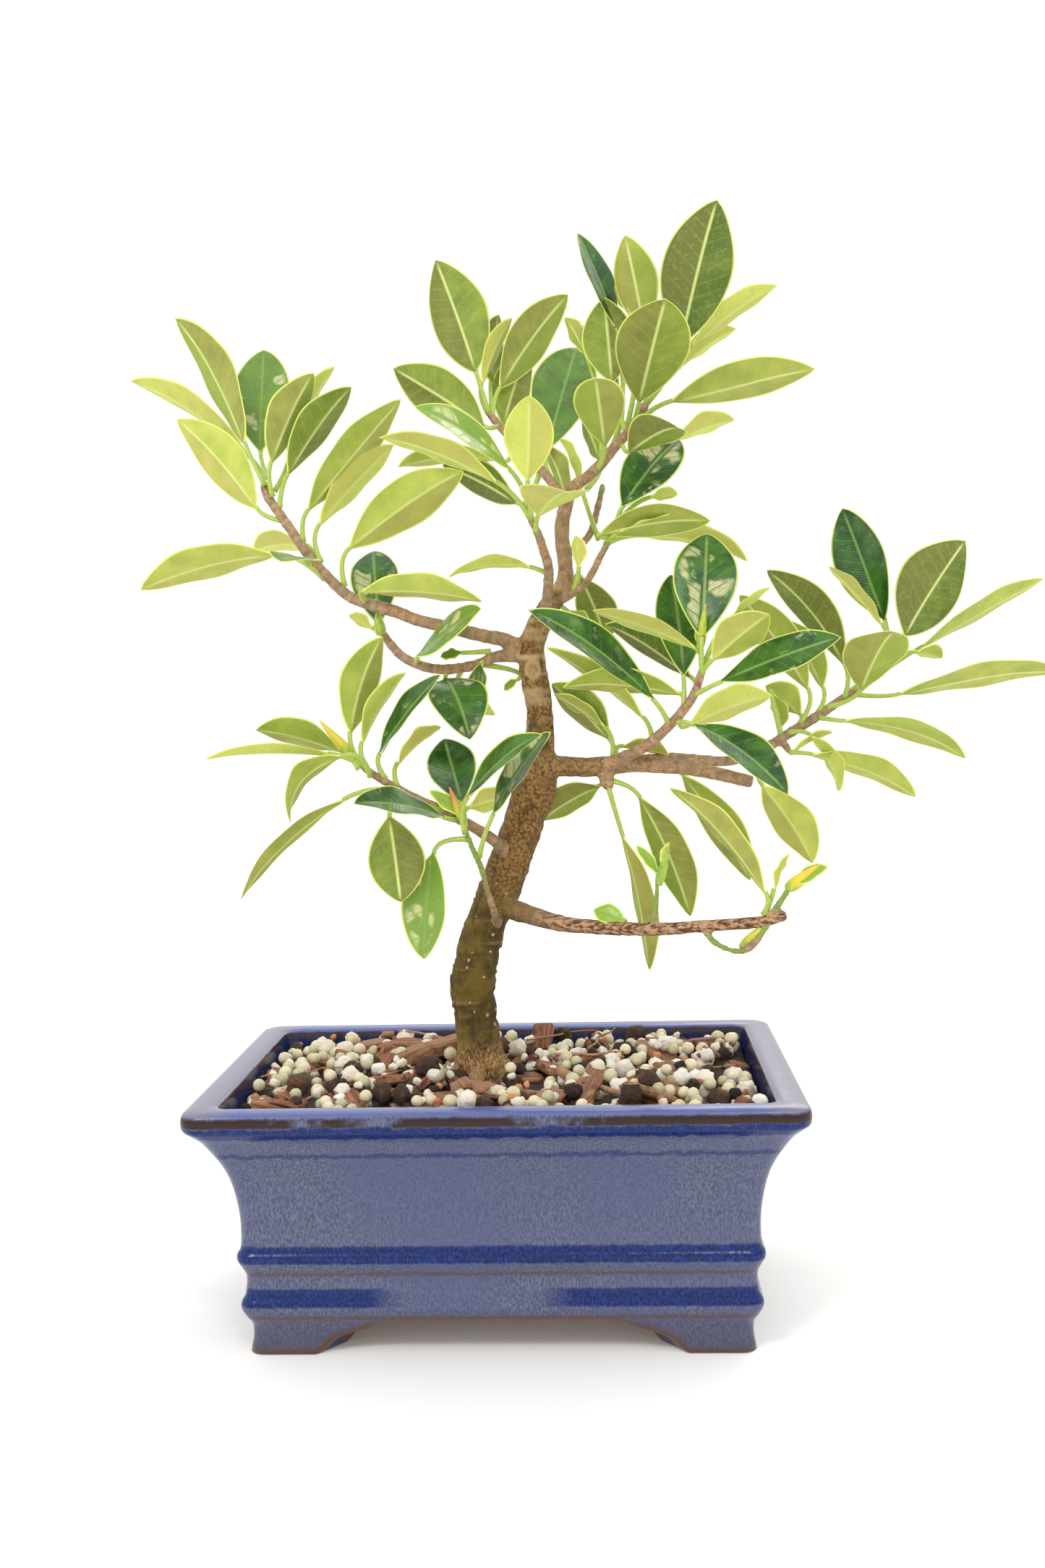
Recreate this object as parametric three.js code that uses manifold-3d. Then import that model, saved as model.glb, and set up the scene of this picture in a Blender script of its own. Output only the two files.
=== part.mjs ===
// A small fig grown as a bonsai, planted in a glazed rectangular pot with four feet.
// Millimetres, +Z up. The front of the pot faces -Y and +X is to its right. The origin is at
// the bottom centre of the whole object's bounding box.
import * as THREE from "three";
import { mergeVertices } from "three/addons/utils/BufferGeometryUtils.js";
import Module from "manifold-3d";

const wasm = await Module();
wasm.setup();

// ---------------------------------------------------------------- driving dimensions
const potWidth = 207; // over the rim
const potDepth = 144; // over the rim
const potHeight = 87;
const rimFlat = 11; // width of the flat top of the rim
const rimCorner = 7; // outer corner radius of the rim
const floorUnder = 14; // underside of the pot's floor
const floorTop = 20; // inside of the pot's floor
const footSkirt = 13; // thickness of the skirt that the feet are cut from
const archHeight = 11.5; // of the openings between the feet
const archFlat = { front: 34, side: 17 }; // half-length of the flat top of an arch
const archFoot = { front: 63, side: 37 }; // half-distance between two feet on the floor
const drainRadius = 7;
const drainSpread = 40; // of a drain hole from the middle of the pot
const screenSize = 30;
const screenThickness = 1.2;
const screenPitch = 6.4;
const screenHole = 4.6;
const soilTop = 82;
const gap = 0.35; // between pieces that rest on each other
const treeLean = THREE.MathUtils.degToRad(1.35); // the tree leans a little to the right
const treeFootX = -5.2;

// Half-lengths are shorter than half the rim by the first number, at the height of the second.
const potOutside = [
  [17.3, 0],
  [18.3, 4.5],
  [18.2, 9.5],
  [16.6, 12.6],
  [15.2, 15.6],
  [15.2, 18],
  [16.5, 20.8],
  [16.9, 26.5],
  [15.6, 30],
  [14.4, 32.6],
  [14.4, 34.8],
  [15.5, 37.2],
  [15.6, 46],
  [14.6, 54],
  [13, 61],
  [10.8, 66.5],
  [8, 71.5],
  [5, 76],
  [2, 79],
  [0.6, 80.4],
  [0, 82],
  [0, 84.6],
  [0.7, 86.3],
  [2.2, 87],
];
const potInside = [
  [26.5, floorTop],
  [23, floorTop + 4],
  [21, 44],
  [19, 56],
  [15.5, 67],
  [12.2, 78],
  [rimFlat, 84.6],
  [rimFlat - 1.6, potHeight + 0.01],
  [rimFlat - 1.6, potHeight + 2],
];

const glaze = new THREE.MeshStandardMaterial({ color: 0x5b6088, roughness: 0.25 });
const mixColour = new THREE.MeshStandardMaterial({ color: 0x6a4f3c, roughness: 0.95 });
const barkColour = new THREE.MeshStandardMaterial({ color: 0x6f5a35, roughness: 0.9 });
const leafColour = new THREE.MeshStandardMaterial({ color: 0x6d8f3c, roughness: 0.45 });
const meshColour = new THREE.MeshStandardMaterial({ color: 0x26382c, roughness: 0.6 });
const chipColour = new THREE.MeshStandardMaterial({ color: 0x8a5a3c, roughness: 0.9 });
const perliteColour = new THREE.MeshStandardMaterial({ color: 0xe8e6de, roughness: 0.9 });

const object = new THREE.Group();
object.name = "bonsai_in_pot";
const potGroup = new THREE.Group();
const treeGroup = new THREE.Group();
treeGroup.position.x = treeFootX;
treeGroup.rotation.y = treeLean;
object.add(potGroup, treeGroup);

// ---------------------------------------------------------------- solids and meshes
function toSolid(geometry) {
  const bare = geometry.clone();
  bare.deleteAttribute("normal");
  bare.deleteAttribute("uv");
  const merged = mergeVertices(bare, 1e-4);
  return new wasm.Manifold(
    new wasm.Mesh({
      numProp: 3,
      vertProperties: merged.attributes.position.array,
      triVerts: new Uint32Array(merged.index.array),
    }),
  );
}

function toGeometry(solid) {
  const mesh = solid.getMesh();
  const geometry = new THREE.BufferGeometry();
  geometry.setAttribute("position", new THREE.BufferAttribute(mesh.vertProperties, 3));
  geometry.setIndex(new THREE.BufferAttribute(mesh.triVerts, 1));
  geometry.computeVertexNormals();
  return geometry;
}

function addPiece(group, name, solid, material) {
  const mesh = new THREE.Mesh(toGeometry(solid), material);
  mesh.name = name;
  group.add(mesh);
}

// The biggest of the bodies that a cut leaves.
function largest(solid) {
  const bodies = solid.decompose();
  return bodies.reduce((a, b) => (b.volume() > a.volume() ? b : a));
}

// A closed skin over rings of points that all have the same count, with a fan on each end.
function skin(rings) {
  const count = rings[0].length;
  const positions = [];
  for (const ring of rings) for (const p of ring) positions.push(p.x, p.y, p.z);
  const first = new THREE.Vector3();
  const last = new THREE.Vector3();
  rings[0].forEach((p) => first.addScaledVector(p, 1 / count));
  rings.at(-1).forEach((p) => last.addScaledVector(p, 1 / count));
  positions.push(first.x, first.y, first.z, last.x, last.y, last.z);
  const start = rings.length * count;
  const top = (rings.length - 1) * count;
  const index = [];
  for (let r = 0; r < rings.length - 1; r++) {
    for (let i = 0; i < count; i++) {
      const a = r * count + i;
      const b = r * count + ((i + 1) % count);
      index.push(a, b, b + count, a, b + count, a + count);
    }
  }
  for (let i = 0; i < count; i++) {
    const next = (i + 1) % count;
    index.push(start, next, i, start + 1, top + i, top + next);
  }
  const geometry = new THREE.BufferGeometry();
  geometry.setAttribute("position", new THREE.Float32BufferAttribute(positions, 3));
  geometry.setIndex(index);
  return geometry;
}

// A level ring round the pot: a rectangle with round corners, counter-clockwise from above.
function potRing(inset, z, corner) {
  const halfX = potWidth / 2 - inset - corner;
  const halfY = potDepth / 2 - inset - corner;
  const steps = 5;
  const ring = [];
  for (let quarter = 0; quarter < 4; quarter++) {
    const cx = quarter === 0 || quarter === 3 ? halfX : -halfX;
    const cy = quarter < 2 ? halfY : -halfY;
    for (let i = 0; i <= steps; i++) {
      const angle = ((quarter + i / steps) * Math.PI) / 2;
      ring.push(new THREE.Vector3(cx + corner * Math.cos(angle), cy + corner * Math.sin(angle), z));
    }
  }
  return ring;
}

// ---------------------------------------------------------------- pot
function block(sizeX, sizeY, sizeZ, x, y, z) {
  const box = new THREE.BoxGeometry(sizeX, sizeY, sizeZ);
  box.translate(x, y, z);
  return toSolid(box);
}

// The opening between two feet: it rises in an S-curve from each foot to a flat top.
function archPrism(halfFlat, halfFoot, length) {
  const outline = new THREE.Shape();
  outline.moveTo(-halfFoot, -2);
  outline.lineTo(halfFoot, -2);
  outline.lineTo(halfFoot, 0);
  const middle = (halfFlat + halfFoot) / 2;
  outline.bezierCurveTo(halfFoot - 3, 6, middle + 5, 6.5, middle, 8);
  outline.bezierCurveTo(middle - 6, 9.5, halfFlat + 5, archHeight, halfFlat, archHeight);
  outline.lineTo(-halfFlat, archHeight);
  outline.bezierCurveTo(-halfFlat - 5, archHeight, -middle + 6, 9.5, -middle, 8);
  outline.bezierCurveTo(-middle - 5, 6.5, -halfFoot + 3, 6, -halfFoot, 0);
  const prism = new THREE.ExtrudeGeometry(outline, {
    depth: length,
    bevelEnabled: false,
    curveSegments: 4,
  });
  prism.translate(0, 0, -length / 2);
  prism.rotateX(Math.PI / 2);
  return prism;
}

function makePot() {
  const cornerOf = (inset) => Math.max(rimCorner - inset * 0.12, 5);
  const outside = toSolid(skin(potOutside.map(([i, z]) => potRing(i, z, cornerOf(i)))));
  const inside = toSolid(skin(potInside.map(([i, z]) => potRing(i, z, 5))));
  const recessInset = potOutside[0][0] + footSkirt;
  const recess = toSolid(
    skin([-2, floorUnder].map((z) => potRing(recessInset, z, 5))),
  );
  const frontArch = toSolid(archPrism(archFlat.front, archFoot.front, potDepth));
  const sideArch = archPrism(archFlat.side, archFoot.side, potWidth);
  sideArch.rotateZ(Math.PI / 2);
  let pot = outside.subtract(inside).subtract(recess);
  pot = pot.subtract(frontArch).subtract(toSolid(sideArch));
  for (const side of [-1, 1]) {
    const drain = new THREE.CylinderGeometry(drainRadius, drainRadius, 30, 20);
    drain.rotateX(Math.PI / 2);
    drain.translate(side * drainSpread, 0, floorTop - 5);
    pot = pot.subtract(toSolid(drain));
  }
  return pot;
}

// A square of coarse plastic mesh that keeps the potting mix in over a drain hole.
function makeScreen(x) {
  const z = floorTop + gap + screenThickness / 2;
  let plate = block(screenSize, screenSize, screenThickness, x, 0, z);
  for (const i of [-1.5, -0.5, 0.5, 1.5]) {
    for (const j of [-1.5, -0.5, 0.5, 1.5]) {
      const at = [x + i * screenPitch, j * screenPitch, z];
      plate = plate.subtract(block(screenHole, screenHole, 2 * screenThickness, ...at));
    }
  }
  return plate;
}

// ---------------------------------------------------------------- wood
// Each limb is a route of [x, y, z, diameter], from its root to its end, in the tree's own
// upright frame, which has its origin under the middle of the pot.
const limbs = {
  trunk: [
    [-3.5, 8, 58, 13],
    [-4.2, 8, 72, 18],
    [-5, 7, 84, 20],
    [-6.4, 6, 93, 17],
    [-7.8, 5, 105, 15.6],
    [-8.4, 4, 117, 16.8],
    [-6.3, 3, 129, 15.4],
    [-3.1, 2, 140, 14.6],
    [1.3, 1, 150, 16.2],
    [5, 1, 161, 14.8],
    [9.7, 0, 174.5, 15],
    [14, 0, 188, 16],
    [14.6, 0, 196, 14],
    [15.5, 0, 205, 10.8],
    [16, 0, 214, 9.8],
    [15, 0, 223, 9.8],
    [13.4, 0, 232, 10.6],
    [13, 0, 239, 9.6],
    [15.2, 0, 246, 9],
    [19, 0, 253, 8],
    [24.4, 1, 261, 6.4],
    [25.2, 1, 268, 5.4],
    [24.2, 1, 275, 5.4],
    [23.9, 1, 283, 5.6],
    [25.6, 1, 291, 5.2],
    [26.6, 0, 295.5, 4.2],
  ],
  crown_right: [
    [25.4, 1, 290, 4.6],
    [28, -1, 296.4, 4.3],
    [32.4, -2, 299.4, 4.2],
    [37.8, -3, 304.5, 4],
    [42.3, -4, 310, 3.8],
    [48.9, -5, 317.6, 3.6],
    [54, -6, 326, 3],
  ],
  crown_left: [
    [25.4, 1, 289, 4],
    [21.3, 1, 296.6, 3.6],
    [16, 2, 303, 3.4],
    [9, 3, 310, 3.2],
    [2, 4, 317.6, 3],
    [-2.6, 4, 323, 2.6],
  ],
  crown_front: [
    [17.6, -1, 250, 4],
    [18.9, -4, 260, 3.8],
    [19, -6, 268, 3.6],
    [17.2, -7, 274, 3.4],
    [15.2, -8, 280, 3],
    [11.2, -9, 288, 2.4],
  ],
  crown_side: [
    [23, 0, 256, 4],
    [28, -2, 258.6, 3.4],
    [32, -4, 261.6, 3],
    [35, -5, 266, 2.8],
    [38, -6, 272, 2.6],
    [42.4, -8, 280, 2.2],
  ],
  crown_back: [
    [25, 2, 272, 3.4],
    [33, 6, 278, 2.8],
    [36, 9, 286, 2.6],
    [38.6, 11, 297, 2.2],
  ],
  upper_left: [
    [13.4, 0, 236, 6.4],
    [7.5, -2, 239.5, 5.8],
    [2, -3, 242, 5.2],
    [-4, -4, 243, 4.8],
    [-18.6, -6, 246.5, 4.6],
    [-29, -7, 249, 4.4],
    [-36, -8, 251.8, 4.6],
    [-45.6, -9, 254.6, 4.4],
    [-53.5, -9, 257.6, 4],
    [-61, -10, 264.3, 3.9],
    [-67.2, -10, 271.2, 3.8],
    [-72.8, -10, 279, 3.6],
    [-77.6, -10, 286, 3.5],
    [-82.6, -10, 293, 3.4],
    [-84.6, -10, 298, 2.6],
  ],
  left: [
    [9, -1, 236, 5],
    [-0.2, -3, 235.5, 4.2],
    [-5.2, -4, 233.2, 4],
    [-11.3, -4, 231.8, 3.8],
    [-18.6, -3, 231, 3.8],
    [-26, -1, 232, 3.6],
    [-33.3, 1, 235.2, 3.4],
    [-37.4, 2, 239, 3.3],
    [-40.8, 3, 243.5, 3],
    [-43.2, 3, 246.6, 2.4],
  ],
  lower_left: [
    [6, -2, 163, 5.4],
    [-1, -6, 169, 4.4],
    [-9.7, -9, 174.5, 4],
    [-20, -10, 180, 3.7],
    [-29, -10, 184, 3.5],
    [-38.3, -10, 189, 3.2],
    [-45, -10, 193, 3],
    [-50, -10, 197, 2.6],
  ],
  front_twig: [
    [0.5, -3, 138, 3.2],
    [-0.5, -10, 142, 2.8],
    [-3, -12.5, 150, 2.5],
    [-5.5, -13.5, 159, 2.3],
    [-8.9, -14, 166.5, 2.2],
    [-11.6, -14, 174, 2],
  ],
  low_right: [
    [-1, 0, 146, 8],
    [9.2, -4, 142.5, 7.4],
    [23, -7, 138.6, 6],
    [35.7, -9, 137.4, 5.3],
    [48.3, -11, 136.8, 5],
    [61, -13, 136.8, 4.7],
    [75, -15, 138, 4.5],
    [94.3, -17, 139.6, 4.4],
    [105.3, -18, 142.3, 4],
  ],
  right: [
    [13, 0, 196, 9.4],
    [20, -1, 196, 7.6],
    [31, -2, 195.6, 7.2],
    [40, -3, 196.2, 7],
    [53, -4, 196.6, 5.8],
    [67.6, -6, 195.6, 5.4],
    [77, -7, 194, 5],
    [86, -8, 192, 4.8],
    [93, -9, 190.4, 4.6],
  ],
  right_shoot: [
    [38, -3, 196, 5],
    [46.8, -6, 199.4, 4.6],
    [55, -8, 203.8, 4.2],
    [62.3, -10, 210.3, 3.8],
    [68, -12, 216.6, 3.6],
    [71.8, -13, 222.4, 3.3],
    [74.6, -14, 231, 2.8],
  ],
  far_right: [
    [50, -3, 197.6, 4.4],
    [57, 1, 198.6, 4],
    [64, 4, 199, 3.9],
    [73, 6, 198.4, 3.8],
    [85, 7, 198, 3.8],
    [98, 7, 203, 3.7],
    [104, 7, 206.7, 3.6],
    [110, 7, 210.4, 3.6],
    [117, 7, 214.8, 3.5],
    [125, 7, 220.4, 3.2],
    [130, 7, 223.5, 2.6],
  ],
  right_knob: [
    [39, -3, 196, 5],
    [40.4, -4, 191, 5.4],
    [41, -5, 187.6, 3.4],
  ],
  far_right_spur: [
    [103, 7, 206, 2.8],
    [105, 4, 202.6, 2.4],
    [106.5, 3, 200.6, 2],
  ],
  low_shoot_middle: [
    [57.6, -12, 138, 2.6],
    [58.6, -13, 149.4, 2.1],
    [59.1, -13, 156.7, 1.8],
    [62.5, -14, 167.5, 1.2],
  ],
  low_shoot_end: [
    [99, -17.5, 141, 2.8],
    [104.8, -19, 149.4, 2.3],
    [107.1, -20, 153, 2.2],
    [117, -22, 161, 1.4],
  ],
  low_shoot_under: [
    [75.5, -15, 137.5, 2.8],
    [79.8, -16, 132, 2.3],
    [87.2, -17, 129, 2.2],
    [93, -18, 131, 3],
    [99.3, -18, 139, 1.6],
  ],
};

// The tree is composed to be looked at from one point in front. So its limbs and leaves are
// drawn as they show from there on the plane y = 0, and y says how far behind that plane a
// point lies, along its own line of sight. Most limbs swing back as well (or forward, below
// zero) by a share of the distance from their foot [x, z].
const viewpoint = [37, -580, 220];
const swings = {
  upper_left: { foot: [13.4, 236], share: 0.28 },
  left: { foot: [9, 236], share: 0.28 },
  lower_left: { foot: [6, 163], share: -0.3 },
  front_twig: { foot: [0.5, 138], share: -0.2 },
  low_right: { foot: [-1, 147], share: -0.35 },
  right_shoot: { foot: [38, 196], share: -0.2 },
  far_right: { foot: [50, 197.6], share: 0.4 },
  crown_left: { foot: [25.4, 289], share: 0.4 },
  crown_front: { foot: [17.6, 250], share: -0.35 },
  crown_side: { foot: [23, 256], share: -0.2 },
  crown_back: { foot: [25, 272], share: 0.5 },
  crown_right: { foot: [25.4, 290], share: -0.25 },
};
swings.far_right_spur = swings.far_right;
for (const name of ["low_shoot_middle", "low_shoot_end", "low_shoot_under"]) {
  swings[name] = swings.low_right;
}

// How much bigger than drawn things are at a point, which is the further back the bigger.
function stretchAt(limb, [x, y, z]) {
  const swing = swings[limb];
  const away = swing === undefined ? 0 : Math.hypot(x - swing.foot[0], z - swing.foot[1]);
  const back = y + (swing === undefined ? 0 : swing.share * away);
  return 1 - back / viewpoint[1];
}

function placed(limb, point) {
  const [eyeX, eyeY, eyeZ] = viewpoint;
  const stretch = stretchAt(limb, point);
  return new THREE.Vector3(
    eyeX + (point[0] - eyeX) * stretch,
    eyeY - eyeY * stretch,
    eyeZ + (point[2] - eyeZ) * stretch,
  );
}

// Thick surface roots spread from the foot of the trunk and run into the potting mix.
const roots = [
  { heading: 200, reach: 13 },
  { heading: 262, reach: 12 },
  { heading: 330, reach: 14 },
  { heading: 35, reach: 14 },
  { heading: 110, reach: 15 },
];

// A round limb along a smooth curve through the route, with its diameter carried along.
function limbSolid(name, route, sides, extra = 0) {
  const curve = new THREE.CatmullRomCurve3(route.map((point) => placed(name, point)));
  const steps = route.length - 1;
  const rings = [];
  let across = null;
  for (let k = 0; k <= steps; k++) {
    const t = k / steps;
    const along = curve.getTangent(t);
    if (across === null) across = new THREE.Vector3(0.3, 1, 0.2);
    across.addScaledVector(along, -across.dot(along)).normalize();
    const other = new THREE.Vector3().crossVectors(along, across);
    const radius = (route[k][3] / 2) * stretchAt(name, route[k]) + extra;
    const middle = curve.getPoint(t);
    if (k === 0) middle.addScaledVector(along, -extra);
    if (k === steps) middle.addScaledVector(along, extra);
    const ring = [];
    for (let i = 0; i < sides; i++) {
      const angle = (i / sides) * 2 * Math.PI;
      ring.push(
        middle
          .clone()
          .addScaledVector(across, radius * Math.cos(angle))
          .addScaledVector(other, radius * Math.sin(angle)),
      );
    }
    rings.push(ring);
  }
  return toSolid(skin(rings));
}

function rootRoute({ heading, reach }) {
  const angle = THREE.MathUtils.degToRad(heading);
  const [footX, footY] = limbs.trunk[2];
  const place = (share, z, diameter) => [
    footX + share * reach * Math.cos(angle),
    footY + share * reach * Math.sin(angle),
    z,
    diameter,
  ];
  return [place(0, 92, 9), place(0.5, 84.5, 7.5), place(0.8, 79, 5.5), place(1, 72, 3.5)];
}

function makeWood(extra) {
  let wood = null;
  for (const [name, route] of Object.entries(limbs)) {
    const sides = name === "trunk" ? 10 : route[0][3] > 4.5 ? 8 : 6;
    const limb = limbSolid(name, route, sides, extra);
    wood = wood === null ? limb : wood.add(limb);
  }
  for (const root of roots) wood = wood.add(limbSolid("root", rootRoute(root), 6, extra));
  return wood;
}

// ---------------------------------------------------------------- leaves
// Each limb's leaves. A leaf is where its stalk leaves the limb, where the blade starts, the
// blade's tip, the blade's width, the way its upper side faces, and how far its midrib arches
// as a share of its length. Leaves are drawn like the limbs, and swing with their limb.
const leaves = {
  upper_left: [
    [[-78, -9.4, 285], [-87, -9, 289.5], [-115, -8, 321.5], 19, [0.3, 0.9, 0.3], 0.05],
    [[-84, -11.4, 298], [-91, -13, 312.6], [-114, -4, 357.5], 20, [0.6, 0.72, 0.3], 0.03],
    [[-82.6, -9, 300.5], [-85.3, -5, 309.7], [-83.7, 17, 345.4], 21.5, [0, -1, 0.3], 0.03],
    [[-81, -11.5, 294], [-81.5, -15, 306], [-66.4, -22, 338], 16, [-0.6, 0.7, 0.3], 0.04],
    [[-69.8, -10, 277.7], [-68.2, -12, 288.7], [-34.3, -18, 328], 19, [-0.6, 0.5, 0.6], 0.01],
    [[-54.8, -9, 261.7], [-53, -10, 275], [-12, -16, 303], 20, [-0.3, 0.79, 0.5], 0.05],
    [[-62.7, -10, 263.8], [-80.5, -14, 272.7], [-130, -16, 260], 19, [0.1, 0.5, 0.85], 0.06],
    [[-84, -7.4, 296], [-90, 8, 308.5], [-131.7, 19, 336], 17, [0.75, 0.35, 0.6], 0.04],
  ],
  left: [
    [[-43, 3, 246], [-42.5, 6, 247.5], [-44.6, 28, 274.3], 18, [0, -1, 0.6], 0.05],
    [[-47.7, -11, 256], [-48.5, -15, 259.3], [-5, -20, 256], 18, [0, 0.5, 0.85], 0.04],
    [[-28.3, -1, 234], [-28, -8, 236], [-5.2, -28, 252.8], 18, [0, -0.8, 0.7], 0.03],
    [[-18, -4, 229.5], [-18.3, -6, 227.5], [-9.4, -34, 205.8], 21, [0.1, -0.75, 0.7], 0.12],
  ],
  lower_left: [
    [[-50, -9, 197.5], [-53.3, -6, 208.2], [-42, 8, 243], 17, [-0.6, 0.75, 0.2], 0.08],
    [[-50.6, -11.6, 195.2], [-57, -8.6, 201.6], [-88, -2, 209.5], 18, [0, 0.6, 0.8], 0.04],
    [[-46.5, -12, 192.6], [-56.7, -18, 199.6], [-76.3, -28, 175.6], 17, [0.3, 0.5, 0.8], 0.2],
    [[-36, -12, 187], [-55.9, -16, 183.7], [-95, -20, 147.5], 16, [-0.6, 0.33, 0.75], 0.06],
    [[-15, -11.6, 176.4], [-19.5, -18, 177.4], [-51.9, -34, 182.7], 18, [0, -0.6, 0.8], 0.05],
    [[-20, -11, 179.5], [-39, -16, 177.4], [-35, -18, 146], 21.3, [0, 1, 0.2], 0.04],
  ],
  front_twig: [
    [[-10.2, -13.5, 169], [-22.8, -16, 164], [-26.5, -20, 125], 17.5, [-0.3, -0.95, 0.2], 0.05],
    [[-11.4, -12.6, 175], [-12.5, -6, 183], [-19, 10, 206], 18, [0, -1, 0.5], 0.06],
    [[-11.2, -15.2, 171.8], [-10.2, -19, 184.8], [15.8, -26, 208.4], 15, [-0.6, -0.5, 0.6], 0.05],
  ],
  crown_left: [
    [[-2.6, 4, 323], [-7, 4, 337.3], [-21.5, 2, 377.2], 22, [0.2, 0.95, 0.1], 0.04],
    [[1, 4, 318.5], [-3.9, 0, 318.1], [-37, -8, 339], 19, [0.2, 0.9, 0.3], 0.05],
    [[-1, 4, 321], [1.6, 8, 332], [25.2, 14, 364.3], 18, [-0.5, 0.72, 0.3], 0.04],
    [[20.5, 2, 299], [18.4, 8, 309.7], [28.9, 26, 345.2], 23.6, [0.1, -1, 0.5], 0.05],
  ],
  crown_front: [
    [[13, -9, 285.5], [11.6, -10, 299.2], [12.1, -6, 329.2], 18, [0, 0.95, 0.2], 0.05],
    [[14.5, -9, 281], [15.5, -14, 286.6], [26.3, -46, 295], 24, [0, 0.2, 1], 0.06],
  ],
  crown_right: [
    [[54, -6, 326], [66, -8, 346.5], [78.3, -4, 397], 26, [-0.2, 0.95, 0.2], 0.03],
    [[50, -6, 320], [51.5, -12, 326.8], [60.7, -34, 363.6], 26, [0, 0.9, 0.5], 0.02],
    [[54, -4, 326], [53.3, 2, 351.7], [46, 8, 385.3], 16, [0.3, 0.9, 0], 0.04],
    [[47, -5, 316], [41.8, 2, 333.4], [38.9, 8, 363.3], 19, [0, 0.95, 0.2], 0.04],
    [[37, -4, 303.5], [39.2, -10, 311.3], [35.7, -36, 336.3], 18, [0, 0.85, 0.5], 0.02],
    [[54, -6, 322], [63.3, -8, 326.8], [113.7, -12, 339], 20, [-0.1, 0.55, 0.8], -0.01],
  ],
  crown_side: [
    [[43.6, -8, 281], [45.7, -12, 289.5], [65.7, 14, 313.7], 20, [-0.2, -1, 0.5], 0.05],
  ],
  right_shoot: [
    [[62.5, -10, 211.3], [56.7, -16, 220.5], [12.6, -20, 253.3], 19, [0.3, -0.66, 0.7], 0.05],
    [[74.6, -14, 230], [74.3, -16, 242.8], [76, 8, 280], 23.5, [0, -1, 0.5], 0.05],
    [[68, -12, 218.7], [67.8, -8, 229.2], [63, 8, 265], 18, [0.2, -0.9, 0.4], 0.05],
    [[72, -13, 222], [81.7, -18, 226.8], [123.9, -22, 242.8], 19, [-0.2, -0.7, 0.7], 0.02],
    [[64.4, -10, 212], [72, -16, 211], [105.6, -24, 185.8], 19, [0.4, -0.7, 0.6], 0.08],
  ],
  right_knob: [
    [[41, -5, 188.2], [46.2, -2, 170.6], [55.4, 2, 121.5], 17, [0.8, 0.44, 0.2], 0.04],
    [[43.1, -4, 190.3], [52.3, -1, 184.8], [70.7, 2, 141.2], 18, [0.5, 0.72, 0.4], 0.06],
  ],
  low_right: [
    [[97.4, -17, 143.3], [98, -20, 150.4], [63.8, -25, 189], 18, [0.6, 0.45, 0.6], 0.05],
  ],
  far_right: [
    [[126.6, 8.6, 222.6], [139.4, 16, 248.6], [124.2, 21, 288], 20, [-0.6, -0.7, 0.2], 0],
    [[130.6, 7, 225], [146.5, 5, 242.8], [167.5, 2, 276.4], 26, [-0.2, 0.95, 0.2], 0.04],
    [[130.6, 8.8, 223], [152.6, 17, 238.9], [195.1, 20, 262.5], 18, [-0.2, 0.5, 0.85], 0.01],
    [[119.7, 5, 217.5], [131.3, 0, 223.9], [142.3, -36, 245.4], 23, [-0.1, 0.75, 0.7], 0.05],
    [[130, 5.4, 221.8], [144.9, 1, 222], [201, -2, 231.3], 19, [0, 0.5, 0.85], 0.02],
    [[117, 5, 213.5], [125.5, 0, 212.4], [169, -6, 200.3], 17, [0.1, 0.4, 0.9], 0.07],
    [[106.5, 3, 201], [114.2, 0, 200.3], [151.5, -8, 185.8], 18, [0.2, 0.45, 0.85], 0.05],
    [[125.3, 6, 221], [125.3, 0, 232.8], [97.2, -8, 266.2], 18, [0.5, 0.6, 0.5], 0.1],
    [[93, 7, 200.5], [96.6, 2, 189], [115, 0, 161.4], 18, [0.5, 0.75, 0.3], 0.05],
  ],
};
const leafThickness = 1; // along the midrib
const stalkThickness = 1.9;
const fold = Math.tan(THREE.MathUtils.degToRad(14)); // how far each half rises from the midrib

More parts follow.
